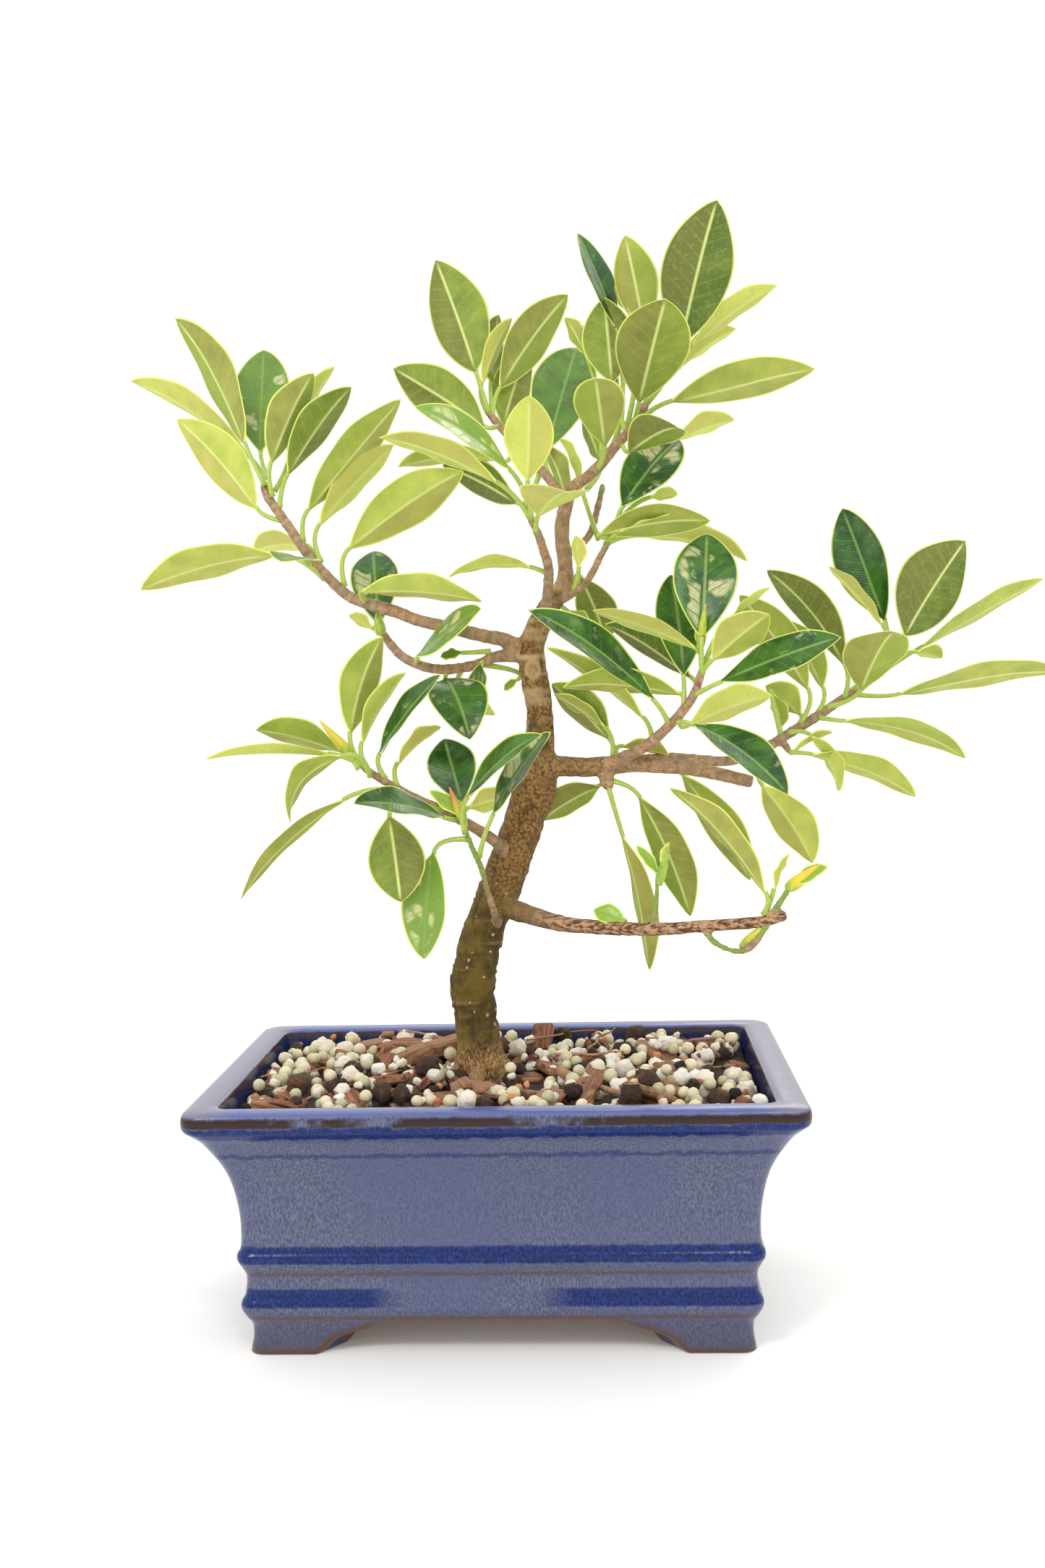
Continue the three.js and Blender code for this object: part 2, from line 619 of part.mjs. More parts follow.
// A leaf is one skin of four-sided sections. They are small diamonds along the stalk and wide,
// shallow V-shapes across the blade.
function leafSolid(limb, [foot, base, tip, drawnWidth, face, arch]) {
  const footAt = placed(limb, foot);
  const baseAt = placed(limb, base);
  const tipAt = placed(limb, tip);
  const width = drawnWidth * stretchAt(limb, base);
  const blade = new THREE.Vector3().subVectors(tipAt, baseAt);
  const length = blade.length();
  const along = blade.clone().normalize();
  const up = new THREE.Vector3(...face);
  up.addScaledVector(along, -up.dot(along)).normalize();
  const side = new THREE.Vector3().crossVectors(along, up);
  const stalkLength = footAt.distanceTo(baseAt);
  const bend = baseAt
    .clone()
    .addScaledVector(along, -0.45 * stalkLength)
    .addScaledVector(up, -1.6 * arch * stalkLength);
  const stalk = new THREE.QuadraticBezierCurve3(footAt, bend, baseAt);
  const section = (middle, across, above, half, lift, thick) => [
    middle.clone().addScaledVector(across, -half).addScaledVector(above, lift),
    middle.clone().addScaledVector(above, thick / 2),
    middle.clone().addScaledVector(across, half).addScaledVector(above, lift),
    middle.clone().addScaledVector(above, -thick / 2),
  ];
  const rings = [];
  for (const t of [0, 0.33, 0.66, 0.94]) {
    const travel = stalk.getTangent(t);
    const across = side.clone().addScaledVector(travel, -side.dot(travel)).normalize();
    const above = new THREE.Vector3().crossVectors(across, travel);
    const half = stalkThickness / 2;
    rings.push(section(stalk.getPoint(t), across, above, half, 0, stalkThickness));
  }
  for (const t of [0.06, 0.18, 0.36, 0.56, 0.76, 0.91, 0.985]) {
    const half = (width / 2) * Math.sin(Math.PI * t ** 1.08) ** 0.72;
    const middle = baseAt
      .clone()
      .addScaledVector(blade, t)
      .addScaledVector(up, arch * length * 4 * t * (1 - t));
    rings.push(section(middle, side, up, Math.max(half, 0.8), half * fold, leafThickness));
  }
  return toSolid(skin(rings));
}

// ---------------------------------------------------------------- pieces on the potting mix
function lump(x, y, size, turn) {
  const geometry = new THREE.IcosahedronGeometry(0.5, 1);
  geometry.scale(...size);
  geometry.rotateZ(THREE.MathUtils.degToRad(turn));
  geometry.translate(x, y, soilTop + gap + size[2] / 2);
  return toSolid(geometry);
}

// ---------------------------------------------------------------- assembly
addPiece(potGroup, "pot", makePot(), glaze);
for (const [name, side] of [
  ["drain_screen_left", -1],
  ["drain_screen_right", 1],
]) {
  addPiece(potGroup, name, makeScreen(side * drainSpread), meshColour);
}

const wood = makeWood(0);
const woodWithGap = makeWood(gap + 0.1);
addPiece(treeGroup, "trunk_and_branches", wood.simplify(0.08), barkColour);

treeGroup.updateMatrixWorld(true);
const placedWood = woodWithGap.transform(treeGroup.matrixWorld.elements);
const mixProfile = [
  [27.5, floorTop + gap + screenThickness + gap],
  [23.4, floorTop + 5],
  [21.4, 44],
  [19.4, 56],
  [15.9, 67],
  [12.6, soilTop - 2],
  [13.6, soilTop],
];
const mix = toSolid(skin(mixProfile.map(([i, z]) => potRing(i, z, 5)))).subtract(placedWood);
addPiece(potGroup, "potting_mix", largest(mix).simplify(0.08), mixColour);
addPiece(potGroup, "bark_chip", lump(-41, 38, [28, 15, 6], 8), chipColour);
addPiece(potGroup, "lava_lump", lump(-27, -7, [12, 11, 10], 30), chipColour);
addPiece(potGroup, "perlite_lump", lump(61, 35, [9, 8, 7], 20), perliteColour);

for (const [limb, list] of Object.entries(leaves)) {
  list.forEach((leaf, i) => {
    const blade = largest(leafSolid(limb, leaf).subtract(woodWithGap));
    addPiece(treeGroup, `leaf_${limb}_${i + 1}`, blade.simplify(0.08), leafColour);
  });
}

// Put the origin under the middle of the whole object's box.
object.updateMatrixWorld(true);
const box = new THREE.Box3().setFromObject(object, true);
const centre = box.getCenter(new THREE.Vector3());
object.position.set(-centre.x, -centre.y, -box.min.z);

export default object;
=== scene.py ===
# %% [markdown]
# # A small fig grown as a bonsai, in a glazed pot
#
# The imported model gives every piece its place and size. It holds a pot with four feet, a bed of
# potting mix, the wood of the tree and its bigger leaves. This lesson gives each of them the
# surface that the real one has. It also adds what is too small to matter for weight or contact:
# the loose grains, the smaller leaves and the buds.
#
# The first step loads that model. It stays fixed from then on. Each new piece rides on a body,
# and the imported node that it stands for is hidden.
# %% Load the imported model
import itertools
import math

import bpy
import numpy as np
from mathutils import Matrix, Vector


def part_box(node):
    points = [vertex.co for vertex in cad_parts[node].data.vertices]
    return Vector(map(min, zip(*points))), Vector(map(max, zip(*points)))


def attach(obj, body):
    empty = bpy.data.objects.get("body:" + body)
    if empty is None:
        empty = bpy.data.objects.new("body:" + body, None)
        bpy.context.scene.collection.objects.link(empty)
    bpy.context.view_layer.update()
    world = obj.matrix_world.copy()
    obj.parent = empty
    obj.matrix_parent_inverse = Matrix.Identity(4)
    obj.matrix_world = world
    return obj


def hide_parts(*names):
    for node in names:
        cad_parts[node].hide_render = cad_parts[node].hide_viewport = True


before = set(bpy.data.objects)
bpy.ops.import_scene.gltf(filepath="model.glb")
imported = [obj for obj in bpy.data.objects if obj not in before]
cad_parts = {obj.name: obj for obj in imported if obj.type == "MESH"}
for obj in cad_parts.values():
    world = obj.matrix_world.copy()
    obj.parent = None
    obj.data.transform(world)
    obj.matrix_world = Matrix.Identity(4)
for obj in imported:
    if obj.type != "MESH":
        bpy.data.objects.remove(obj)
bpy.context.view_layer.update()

mm = 0.001
pot_low, pot_high = (np.array(corner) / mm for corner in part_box("pot"))
pot_middle = (pot_low + pot_high) / 2
pot_size = pot_high - pot_low
mix_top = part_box("potting_mix")[1][2] / mm
print("pot", pot_size.round(1), "mm, potting mix up to", round(mix_top, 1), "mm")

# %% [markdown]
# ## The camera
#
# The tree is looked at from a little above its middle, nearly 0.6 m away, with the camera held
# a touch off level. A camera looks along its own -Z, with its +Y up. So its turn is a matrix
# whose columns are the directions that are right, up and backwards in the picture. A Track To
# constraint could aim it too, but the matrix also says how far the camera is rolled.
# %% Camera
camera_from_pot = np.array([37.2, -579.9, 221.4])  # from the middle under the pot
camera_turn = math.radians(2.79)  # towards the left
camera_drop = math.radians(3.18)  # below level
camera_roll = math.atan(0.0236)  # so that upright things lean a little left
camera_lens = 36.7  # on a sensor of the width below, both in the usual millimetres
sensor_width = 36

ahead = np.array([
    -math.sin(camera_turn) * math.cos(camera_drop),
    math.cos(camera_turn) * math.cos(camera_drop),
    -math.sin(camera_drop),
])
level = np.cross(ahead, [0, 0, 1])
level /= np.linalg.norm(level)
plumb = np.cross(level, ahead)
right = level * math.cos(camera_roll) - plumb * math.sin(camera_roll)
upward = plumb * math.cos(camera_roll) + level * math.sin(camera_roll)

camera_data = bpy.data.cameras.new("camera")
camera_data.lens = camera_lens
camera_data.sensor_width = sensor_width
camera = bpy.data.objects.new("camera", camera_data)
bpy.context.scene.collection.objects.link(camera)
bpy.context.scene.camera = camera
camera_at = (camera_from_pot + [pot_middle[0], pot_middle[1], 0]) * mm
camera_axes = np.column_stack([right, upward, -ahead])
camera.matrix_world = Matrix.Translation(camera_at) @ Matrix(camera_axes.tolist()).to_4x4()
print("camera at", camera_at.round(3))

# %% [markdown]
# ## Finishes written as expressions
#
# A finish is a tree of shader nodes. Wiring them by hand hides the idea behind the wiring, so
# two small classes let a finish be written as arithmetic. A Port is one output socket, and
# adding or multiplying ports adds Math nodes. A Finish is one material, whose node() method
# adds any other node: first its settings are set, and then its inputs are filled or linked.
# %% Colours
def colour(code, alpha=1.0):
    """A colour from its six hexadecimal digits, made linear: ((c + 0.055) / 1.055) to the 2.4."""
    parts = [int(code[i : i + 2], 16) / 255 for i in (0, 2, 4)]
    linear = [((c + 0.055) / 1.055) ** 2.4 if c > 0.04045 else c / 12.92 for c in parts]
    return (*linear, alpha)


print("half grey made linear is", round(colour("808080")[0], 3))

# %% Ports
class Port:
    """An output socket. Arithmetic on it adds Math nodes to its finish."""

    def __init__(self, finish, socket):
        self.finish = finish
        self.socket = socket

    def math(self, operation, *values):
        """The output of a Math node that does this operation on the values."""
        inputs = dict(enumerate(values))
        return self.finish.node("ShaderNodeMath", {"operation": operation}, inputs)

    def __add__(self, other):
        return self.math("ADD", self, other)

    def __radd__(self, other):
        return self.math("ADD", other, self)

    def __sub__(self, other):
        return self.math("SUBTRACT", self, other)

    def __rsub__(self, other):
        return self.math("SUBTRACT", other, self)

    def __mul__(self, other):
        return self.math("MULTIPLY", self, other)

    def __rmul__(self, other):
        return self.math("MULTIPLY", other, self)

    def __truediv__(self, other):
        return self.math("DIVIDE", self, other)

    def __abs__(self):
        return self.math("ABSOLUTE", self)

    def sine(self):
        return self.math("SINE", self)

    def ramp(self, start, end):
        """0 up to start and 1 from end on, with a soft S-shaped rise between them."""
        settings = {"interpolation_type": "SMOOTHSTEP"}
        inputs = {"Value": self, "From Min": start, "From Max": end}
        return self.finish.node("ShaderNodeMapRange", settings, inputs)


print("ports can be added, subtracted, multiplied and divided")

# %% Finishes
class Finish:
    """A material that is written as expressions on ports."""

    def __init__(self, name):
        self.material = bpy.data.materials.new(name)
        self.material.use_nodes = True
        self.tree = self.material.node_tree
        self.tree.nodes.clear()
        self.place = self.node("ShaderNodeTexCoord", {}, {}, "Object")

    def node(self, kind, settings, inputs, output=0):
        """Adds a node of this kind, sets it up, fills or links its inputs and returns an output."""
        made = self.tree.nodes.new(kind)
        for key, value in settings.items():
            setattr(made, key, value)
        for key, value in inputs.items():
            if isinstance(value, Port):
                self.tree.links.new(value.socket, made.inputs[key])
            else:
                made.inputs[key].default_value = value
        return Port(self, made.outputs[output]) if made.outputs else None

    def attribute(self, name):
        """A named number that the mesh carries on its points."""
        return self.node("ShaderNodeAttribute", {"attribute_name": name}, {}, "Fac")

    def mix(self, under, over, share):
        """The colour under where share is 0, and the colour over where it is 1."""
        inputs = {0: share, 6: under, 7: over}
        return self.node("ShaderNodeMix", {"data_type": "RGBA"}, inputs, 2)

    def stretched(self, scale, turn=(0, 0, 0)):
        """Object coordinates times a scale on each axis, after a turn."""
        inputs = {"Vector": self.place, "Scale": scale, "Rotation": turn}
        return self.node("ShaderNodeMapping", {}, inputs)

    def noise(self, size, detail=3.0, place=None, rough=0.5):
        """Cloudy numbers about 0.5, with spots about as big as size in millimetres."""
        inputs = {"Scale": 1 / (size * mm), "Detail": detail, "Roughness": rough}
        inputs["Vector"] = self.place if place is None else place
        return self.node("ShaderNodeTexNoise", {}, inputs)

    def cells(self, size, place=None, feature="F1"):
        """The distance to the nearest of scattered points that lie about size apart."""
        inputs = {"Scale": 1 / (size * mm), "Vector": self.place if place is None else place}
        return self.node("ShaderNodeTexVoronoi", {"feature": feature}, inputs, "Distance")

    def coordinate(self, axis):
        """One of the object coordinates X, Y and Z, in millimetres."""
        split = self.node("ShaderNodeSeparateXYZ", {}, {"Vector": self.place}, axis)
        return split / mm

    def bump(self, height, depth, strength=1.0):
        """A normal for a height from 0 to 1 that stands for a depth in millimetres."""
        inputs = {"Height": height, "Distance": depth * mm, "Strength": strength}
        return self.node("ShaderNodeBump", {}, inputs)

    def surface(self, **values):
        """Puts the values on a Principled shader, by the names of its sockets with _ for a space."""
        inputs = {key.replace("_", " "): value for key, value in values.items()}
        shader = self.node("ShaderNodeBsdfPrincipled", {}, inputs)
        self.node("ShaderNodeOutputMaterial", {}, {"Surface": shader})
        return self.material


print("finishes can mix colours, make noise, cells and bumps, and end in a surface")

# %% [markdown]
# ## Surfaces as arrays
#
# Shapes could be built up with Blender's editing operators, one step at a time. Arrays are
# chosen because each shape then has one formula that can be read, and runs at once. Every new
# shape here is a grid of points worked out all at once. A loft takes closed rings of points,
# one after the other, joins each ring to the next with four-sided faces and shuts both ends.
# The other helpers turn points and faces into an object, keep what its modifiers make, check by
# the volume that the faces look outwards, say what the piece rides on and hide the node that it
# stands for.
# %% Curves, lofts and tubes
def unit(vectors):
    """The vectors, each divided by its own length."""
    return vectors / np.linalg.norm(vectors, axis=-1, keepdims=True)


def smooth_steps(stations, steps):
    """Columns of numbers carried through the stations on the Catmull-Rom curve: on each span the
    cubic that leaves and arrives in the direction between the neighbours on either side."""
    ends = [2 * stations[:1] - stations[1:2], stations, 2 * stations[-1:] - stations[-2:-1]]
    rows = np.vstack(ends)[:, None]
    a, b, c, d = rows[:-3], rows[1:-2], rows[2:-1], rows[3:]
    t = np.linspace(0, 1, steps, endpoint=False)[:, None]
    curve = b + 0.5 * t * (c - a + t * (2 * a - 5 * b + 4 * c - d + t * (3 * (b - c) + d - a)))
    return np.vstack([curve.reshape(-1, stations.shape[1]), stations[-1:]])


def loft(rings):
    """A closed skin over an array of rings by points by 3: a quad between each pair of points
    and the same pair on the next ring, and a fan to the middle of the first and last ring."""
    count, around = rings.shape[:2]
    points = np.vstack([rings.reshape(-1, 3), rings[[0, -1]].mean(axis=1)])
    here = np.arange(around)
    after = (here + 1) % around
    row = np.arange(count - 1)[:, None] * around
    quads = np.stack([row + here, row + after, row + after + around, row + here + around], -1)
    end = (count - 1) * around
    first = np.stack([np.full(around, count * around), after, here], -1)
    last = np.stack([np.full(around, count * around + 1), end + here, end + after], -1)
    return points, quads.reshape(-1, 4).tolist() + first.tolist() + last.tolist()


def tube(path, radii, around, reference=(0.3, 1, 0.2)):
    """Circles of the given radii along a path: path + radius (cos a · across + sin a · other),
    where across is the reference direction made square to the path."""
    along = unit(np.gradient(path, axis=0))
    across = unit(reference - (along @ reference)[:, None] * along)
    other = np.cross(along, across)
    a = np.linspace(0, 2 * np.pi, around, endpoint=False)[None, :, None]
    rings = across[:, None] * np.cos(a) + other[:, None] * np.sin(a)
    return path[:, None] + np.asarray(radii)[:, None, None] * rings


upright = np.outer(np.arange(3.0), [0, 0, 1])
print("a tube of 3 rings of 8 has", len(loft(tube(upright, [1, 1, 1], 8))[1]), "faces")

# %% Shapes together, and turns
def joined(shapes):
    """Several (points, faces) as one, with each shape's faces counted on from the last."""
    counts = np.cumsum([0] + [len(points) for points, _ in shapes])
    faces = [
        [i + start for i in face] for start, (_, shape) in zip(counts, shapes) for face in shape
    ]
    return np.vstack([points for points, _ in shapes]), faces


def gathered(shapes):
    """Several (points, faces, marks) as one."""
    points, faces = joined([shape[:2] for shape in shapes])
    keys = shapes[0][2]
    return points, faces, {key: np.concatenate([s[2][key] for s in shapes]) for key in keys}


def turn_about(axis, angle):
    """The matrix that turns by an angle about axis 0, 1 or 2: the cosine and the sine of the
    angle on the other two axes, and 1 on its own."""
    j, k = (axis + 1) % 3, (axis + 2) % 3
    turn = np.eye(3)
    turn[j, j] = turn[k, k] = math.cos(angle)
    turn[k, j] = math.sin(angle)
    turn[j, k] = -math.sin(angle)
    return turn


print("a quarter turn about Z takes X to", (turn_about(2, math.pi / 2) @ [1, 0, 0]).round(3))

# %% From arrays to finished pieces
def mark_points(mesh, marks):
    """Puts named numbers on the points of a mesh, for its finish to read."""
    for key, values in marks.items():
        layer = mesh.attributes.new(key, "FLOAT", "POINT")
        layer.data.foreach_set("value", np.asarray(values, dtype=np.float32).ravel())


def new_object(name, points, faces, marks=None):
    """An object whose mesh has these points, in millimetres, and these named numbers on them."""
    mesh = bpy.data.meshes.new(name)
    mesh.from_pydata((np.asarray(points) * mm).tolist(), [], faces)
    mark_points(mesh, marks or {})
    mesh.shade_smooth()
    thing = bpy.data.objects.new(name, mesh)
    bpy.context.scene.collection.objects.link(thing)
    return thing


def apply_modifiers(thing):
    """Makes the shape that the modifiers give the object's own mesh, and removes them."""
    depsgraph = bpy.context.evaluated_depsgraph_get()
    shaped = bpy.data.meshes.new_from_object(thing.evaluated_get(depsgraph))
    thing.modifiers.clear()
    thing.data = shaped


def corners_of(mesh):
    """The mesh's points, and the three corners of each of its triangles."""
    points = np.empty(3 * len(mesh.vertices))
    mesh.vertices.foreach_get("co", points)
    mesh.calc_loop_triangles()
    corners = np.empty(3 * len(mesh.loop_triangles), dtype=int)
    mesh.loop_triangles.foreach_get("vertices", corners)
    return points.reshape(-1, 3), corners.reshape(-1, 3)


def finished(thing, material, nodes=()):
    """Turns the faces outwards if the volume, a sixth of the sum of a · (b x c), is negative,
    gives the piece its material and its body, and hides the nodes that it stands for."""
    points, corners = corners_of(thing.data)
    a, b, c = points[corners].transpose(1, 0, 2)
    if (a * np.cross(b, c)).sum() < 0:
        thing.data.flip_normals()
    thing.data.materials.clear()
    thing.data.materials.append(material)
    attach(thing, "root")
    if nodes:
        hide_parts(*nodes)
    return thing


print("helpers for objects are ready")

# %% Smooth random heights
def lumps(points, size, seed):
    """Smooth random heights from -1 to 1. Random values sit on the corners of cubes of this
    size, and the weight 3t² - 2t³ blends the eight that are round each point."""
    spot = points / size
    low = np.floor(spot).astype(np.int64)
    t = spot - low
    t = t * t * (3 - 2 * t)
    height = np.zeros(points.shape[:-1])
    for corner in itertools.product((0, 1), repeat=3):
        key = (low + corner) @ np.array([73856093, 19349663, 83492791]) + seed * 2654435761
        key = (key ^ (key >> 13)) * 1274126177 % 2**31
        weight = np.where(np.array(corner) == 1, t, 1 - t).prod(axis=-1)
        height += weight * (key / 2**30 - 1)
    return height


print("lumps at three places:", lumps(np.eye(3), 0.7, 1).round(2))

# %% [markdown]
# ## Floor and light
#
# The tree stands on a pale cloth in a white light tent, which lights it evenly from all round.
# A white world does the same. Two smaller square lamps above the front, a stronger one on the
# left and a weaker one on the right, give the glaze its highlights. A large one behind the tree
# lights the edge of the crown. Lamps alone could light it all, but would leave dark sides.
# %% Floor
def floor_finish():
    """A pale cloth with a faint weave."""
    cloth = Finish("pale_cloth")
    weave = cloth.noise(2.0, 2.0)
    tint = cloth.mix(colour("ffffff"), colour("fffdf6"), weave)
    return cloth.surface(
        Base_Color=tint, Roughness=0.9, Specular_IOR_Level=0.1,
        Emission_Color=(1.0, 0.93, 0.8, 1.0), Emission_Strength=0.07,
    )


floor_half = 6000.0
corner_x, corner_y = np.meshgrid([-floor_half, floor_half], [-floor_half, floor_half])
floor_points = np.column_stack([corner_x.ravel(), corner_y.ravel(), np.zeros(4)])
floor = new_object("floor", floor_points, [[0, 1, 3, 2]])
floor.data.materials.append(floor_finish())
print("floor", round(2 * floor_half * mm), "m wide")

# %% World and lamps
world = bpy.data.worlds.new("light_tent")
world.use_nodes = True
world.node_tree.nodes["Background"].inputs["Color"].default_value = (1, 1, 1, 1)
world.node_tree.nodes["Background"].inputs["Strength"].default_value = 1.04
bpy.context.scene.world = world
bpy.context.scene.view_settings.view_transform = "Standard"
lamp_aim = Vector((0, 0, 0.2))


def soft_lamp(name, place, power, size):
    """A square lamp of this power in watts and size in metres that looks at the tree."""
    data = bpy.data.lights.new(name, "AREA")
    data.energy = power
    data.size = size
    lamp = bpy.data.objects.new(name, data)
    bpy.context.scene.collection.objects.link(lamp)
    back = Vector(place) - lamp_aim
    turn = back.to_track_quat("Z", "Y").to_matrix().to_4x4()
    lamp.matrix_world = Matrix.Translation(place) @ turn


soft_lamp("key_lamp", (-0.7, -1.1, 1.3), 6, 0.35)
soft_lamp("back_lamp", (0.5, 1.2, 1.0), 6, 1.0)
soft_lamp("front_lamp", (0.3, -1.2, 1.4), 3, 0.2)
print("world and three lamps")

# %% [markdown]
# ## The pot
#
# The pot is slip-cast stoneware: a rectangle with round corners, a flared rim with a flat top,
# two soft ribs round its foot and an arch cut between each pair of feet. It could be a bevelled
# box with its arches cut by a Boolean, but the wall changes its slope all the way up, and a
# profile follows that closely. Its outside is one profile, given as how far it lies inside the
# rim at each height, swept round a rounded rectangle. The lowest stretch is squeezed upwards
# where an arch is, so that the wall ends on the arch and the ribs above it stay level. The
# inside comes first and the underside last in the same loft, and then the drain holes are cut
# through the floor.
# %% Outline of the pot
def bezier(a, b, c, d, count=12):
    """The cubic from a to d that leaves towards b and arrives from c."""
    t = np.linspace(0, 1, count)[:, None]
    a, b, c, d = (np.array(p) for p in (a, b, c, d))
    return (1 - t) ** 3 * a + 3 * t * (1 - t) ** 2 * b + 3 * t**2 * (1 - t) * c + t**3 * d


arch_height = 11.5
front_arch = (34, 63)  # half the width of its flat top, and of its foot
side_arch = (17, 37)
foot_inset = 22  # how far inside the rim the corners of the foot begin


def arch_lift(distance, half_flat, half_foot):
    """The height of the arch at a distance from its middle: two cubics in an S from the foot."""
    middle = (half_flat + half_foot) / 2
    low = bezier((half_foot, 0), (half_foot - 3, 6), (middle + 5, 6.5), (middle, 8))
    high = bezier(
        (middle, 8), (middle - 6, 9.5), (half_flat + 5, arch_height), (half_flat, arch_height)
    )
    curve = np.vstack([low, high])[::-1]
    return np.interp(distance, curve[:, 0], curve[:, 1])


def outline_of_pot(pitch=1.6, corner_steps=8):
    """For each point counter-clockwise round the pot: which share of the straight half-lengths
    it lies out at in x and y, the cosine and sine in its corner, and the arch above it."""
    rows = []
    half_x, half_y = pot_size[:2] / 2 - foot_inset
    for quarter in range(4):
        sign_x = 1 if quarter in (0, 3) else -1
        sign_y = 1 if quarter < 2 else -1
        a = (quarter + np.linspace(0, 1, corner_steps)) * np.pi / 2
        flat = np.ones(corner_steps)
        rows.append(np.column_stack([sign_x * flat, sign_y * flat, np.cos(a), np.sin(a), 0 * flat]))
        along_x = quarter % 2 == 0
        steps = round(2 * (half_x if along_x else half_y) / pitch)
        share = 1 - 2 * np.linspace(0, 1, steps)[1:-1]
        flat = np.ones(len(share))
        if along_x:
            lift = arch_lift(np.abs(share) * half_x, *front_arch)
            rows.append(np.column_stack([sign_x * share, sign_y * flat, 0 * flat, sign_y * flat, lift]))
        else:
            lift = arch_lift(np.abs(share) * half_y, *side_arch)
            rows.append(np.column_stack([sign_x * flat, sign_y * share, sign_x * flat, 0 * flat, lift]))
    return np.vstack(rows)


outline = outline_of_pot()
print("outline of", len(outline), "points")

# %% Profile of the pot
pot_outside = np.array([
    [17.3, 0], [18.3, 4.5], [18.2, 9.5], [16.6, 12.6], [15.2, 15.6], [15.2, 18], [16.5, 20.8],
    [16.9, 26.5], [15.6, 30], [14.4, 32.6], [14.4, 34.8], [15.5, 37.2], [15.6, 46], [14.6, 54],
    [13, 61], [10.8, 66.5], [8, 71.5], [5, 76], [2, 79], [0.6, 80.4], [0, 82], [0, 84.6],
    [0.7, 86.3], [2.2, 87],
])
pot_inside = np.array([
    [26.5, 20], [23, 24], [21, 44], [19, 56], [15.5, 67], [12.2, 78], [11, 84.6], [10.5, 86.4],
    [8.8, 87],
])
squeeze_height = 19.0  # below this the outside is squeezed up over an arch
floor_under = 14.0
skirt_thickness = 13
skirt_inset = pot_outside[0, 0] + skirt_thickness
rim_corner = 7
inner_corner = 5.0
well_above = 80.0  # a height over the edge for what has no worn edge near
outer_side, inner_side, under_side = 0.0, 1.0, 2.0


def ring_of_pot(inset, height, corner):
    """Points at share · (half the rim - inset - corner) + corner · (cosine, sine)."""
    reach = pot_size[:2] / 2 - np.broadcast_to(inset, len(outline))[:, None]
    level = outline[:, :2] * (reach - corner) + corner * outline[:, 2:4]
    return np.column_stack([level, np.broadcast_to(height, len(outline))])


print("profile of", len(pot_inside) + len(pot_outside), "stations")

# %% Loft of the pot
def make_pot():
    """The whole pot as one loft, with marks for the height above its edge and for the side."""
    lift = outline[:, 4]
    rings, above_edge, side = [], [], []

    def add(inset, height, corner, above, which):
        """One more ring, with its height above the edge and its side."""
        rings.append(ring_of_pot(inset, height, corner))
        above_edge.append(np.broadcast_to(above, len(outline)))
        side.append(np.full(len(outline), which))

    for inset, height in smooth_steps(pot_inside, 4):
        add(inset, height, inner_corner, well_above, inner_side)
    profile = smooth_steps(pot_outside, 4)
    for inset, height in profile[::-1][:-2]:
        raised = height + lift * max(0.0, 1 - height / squeeze_height)
        corner = np.maximum(rim_corner - 0.12 * inset, inner_corner)
        at = np.interp(raised, profile[:, 1], profile[:, 0]) if height < squeeze_height else inset
        add(at, raised, corner, raised - lift, outer_side)
    edge = np.interp(lift, profile[:, 1], profile[:, 0])
    for inwards, up in ((0.3, 0.4), (1.2, 0.0)):
        add(edge + inwards, lift + up, inner_corner, up, outer_side)
    for inset, share in ((skirt_inset - 1.2, 0.0), (skirt_inset - 0.3, 0.03), (skirt_inset, 0.1)):
        add(inset, lift + share * (floor_under - lift), inner_corner, 0.0, under_side)
    add(skirt_inset, lift + 0.6 * (floor_under - lift), inner_corner, 0.0, under_side)
    add(skirt_inset + 0.1, floor_under, inner_corner, 0.0, under_side)
    points, faces = loft(np.array(rings))
    points += [pot_middle[0], pot_middle[1], 0]
    marks = {
        "above_edge": np.append(np.ravel(above_edge), [well_above, 0]),
        "side": np.append(np.ravel(side), [inner_side, under_side]),
    }
    return new_object("glazed_pot", points, faces, marks)


pot = make_pot()
print("pot of", len(pot.data.polygons), "faces")

# %% Drain holes
drain_offset = 40  # from the middle, to the left and to the right
drain_radius = 7.0


def cut_drain_holes(pot):
    """Takes two upright cylinders out of the floor with a Boolean modifier, and applies it."""
    drills = []
    for side in (-1, 1):
        x, y = pot_middle[0] + side * drain_offset, pot_middle[1]
        path = np.array([[x, y, 5], [x, y, 22.5], [x, y, 40]])
        drills.append(loft(tube(path, [drain_radius] * 3, 32, (1, 0, 0))))
    drill = new_object("drill", *joined(drills))
    cut = pot.modifiers.new("drain_holes", "BOOLEAN")
    cut.operation = "DIFFERENCE"
    cut.solver = "EXACT"
    cut.object = drill
    apply_modifiers(pot)
    bpy.data.objects.remove(drill)


cut_drain_holes(pot)
print("with its holes", len(pot.data.polygons), "faces")

# %% [markdown]
# ### Glaze
#
# The pot wears a slate-blue glaze with a fine upright speckle. Where the glaze ran and pooled
# it is a deep cobalt: under the lip, in a thin line on the flare, and on the tops of both ribs.
# Where it ran thin, on edges and crests, the brown body shows through. It could be painted on
# an unwrapped mesh, but all of these follow the height, so each is a soft band of the height
# that a little noise makes ragged.
# %% Glaze
def band(value, low, high, soft=0.5):
    """1 between low and high, and 0 outside, with soft edges."""
    return value.ramp(low - soft, low + soft) * (1 - value.ramp(high - soft, high + soft))


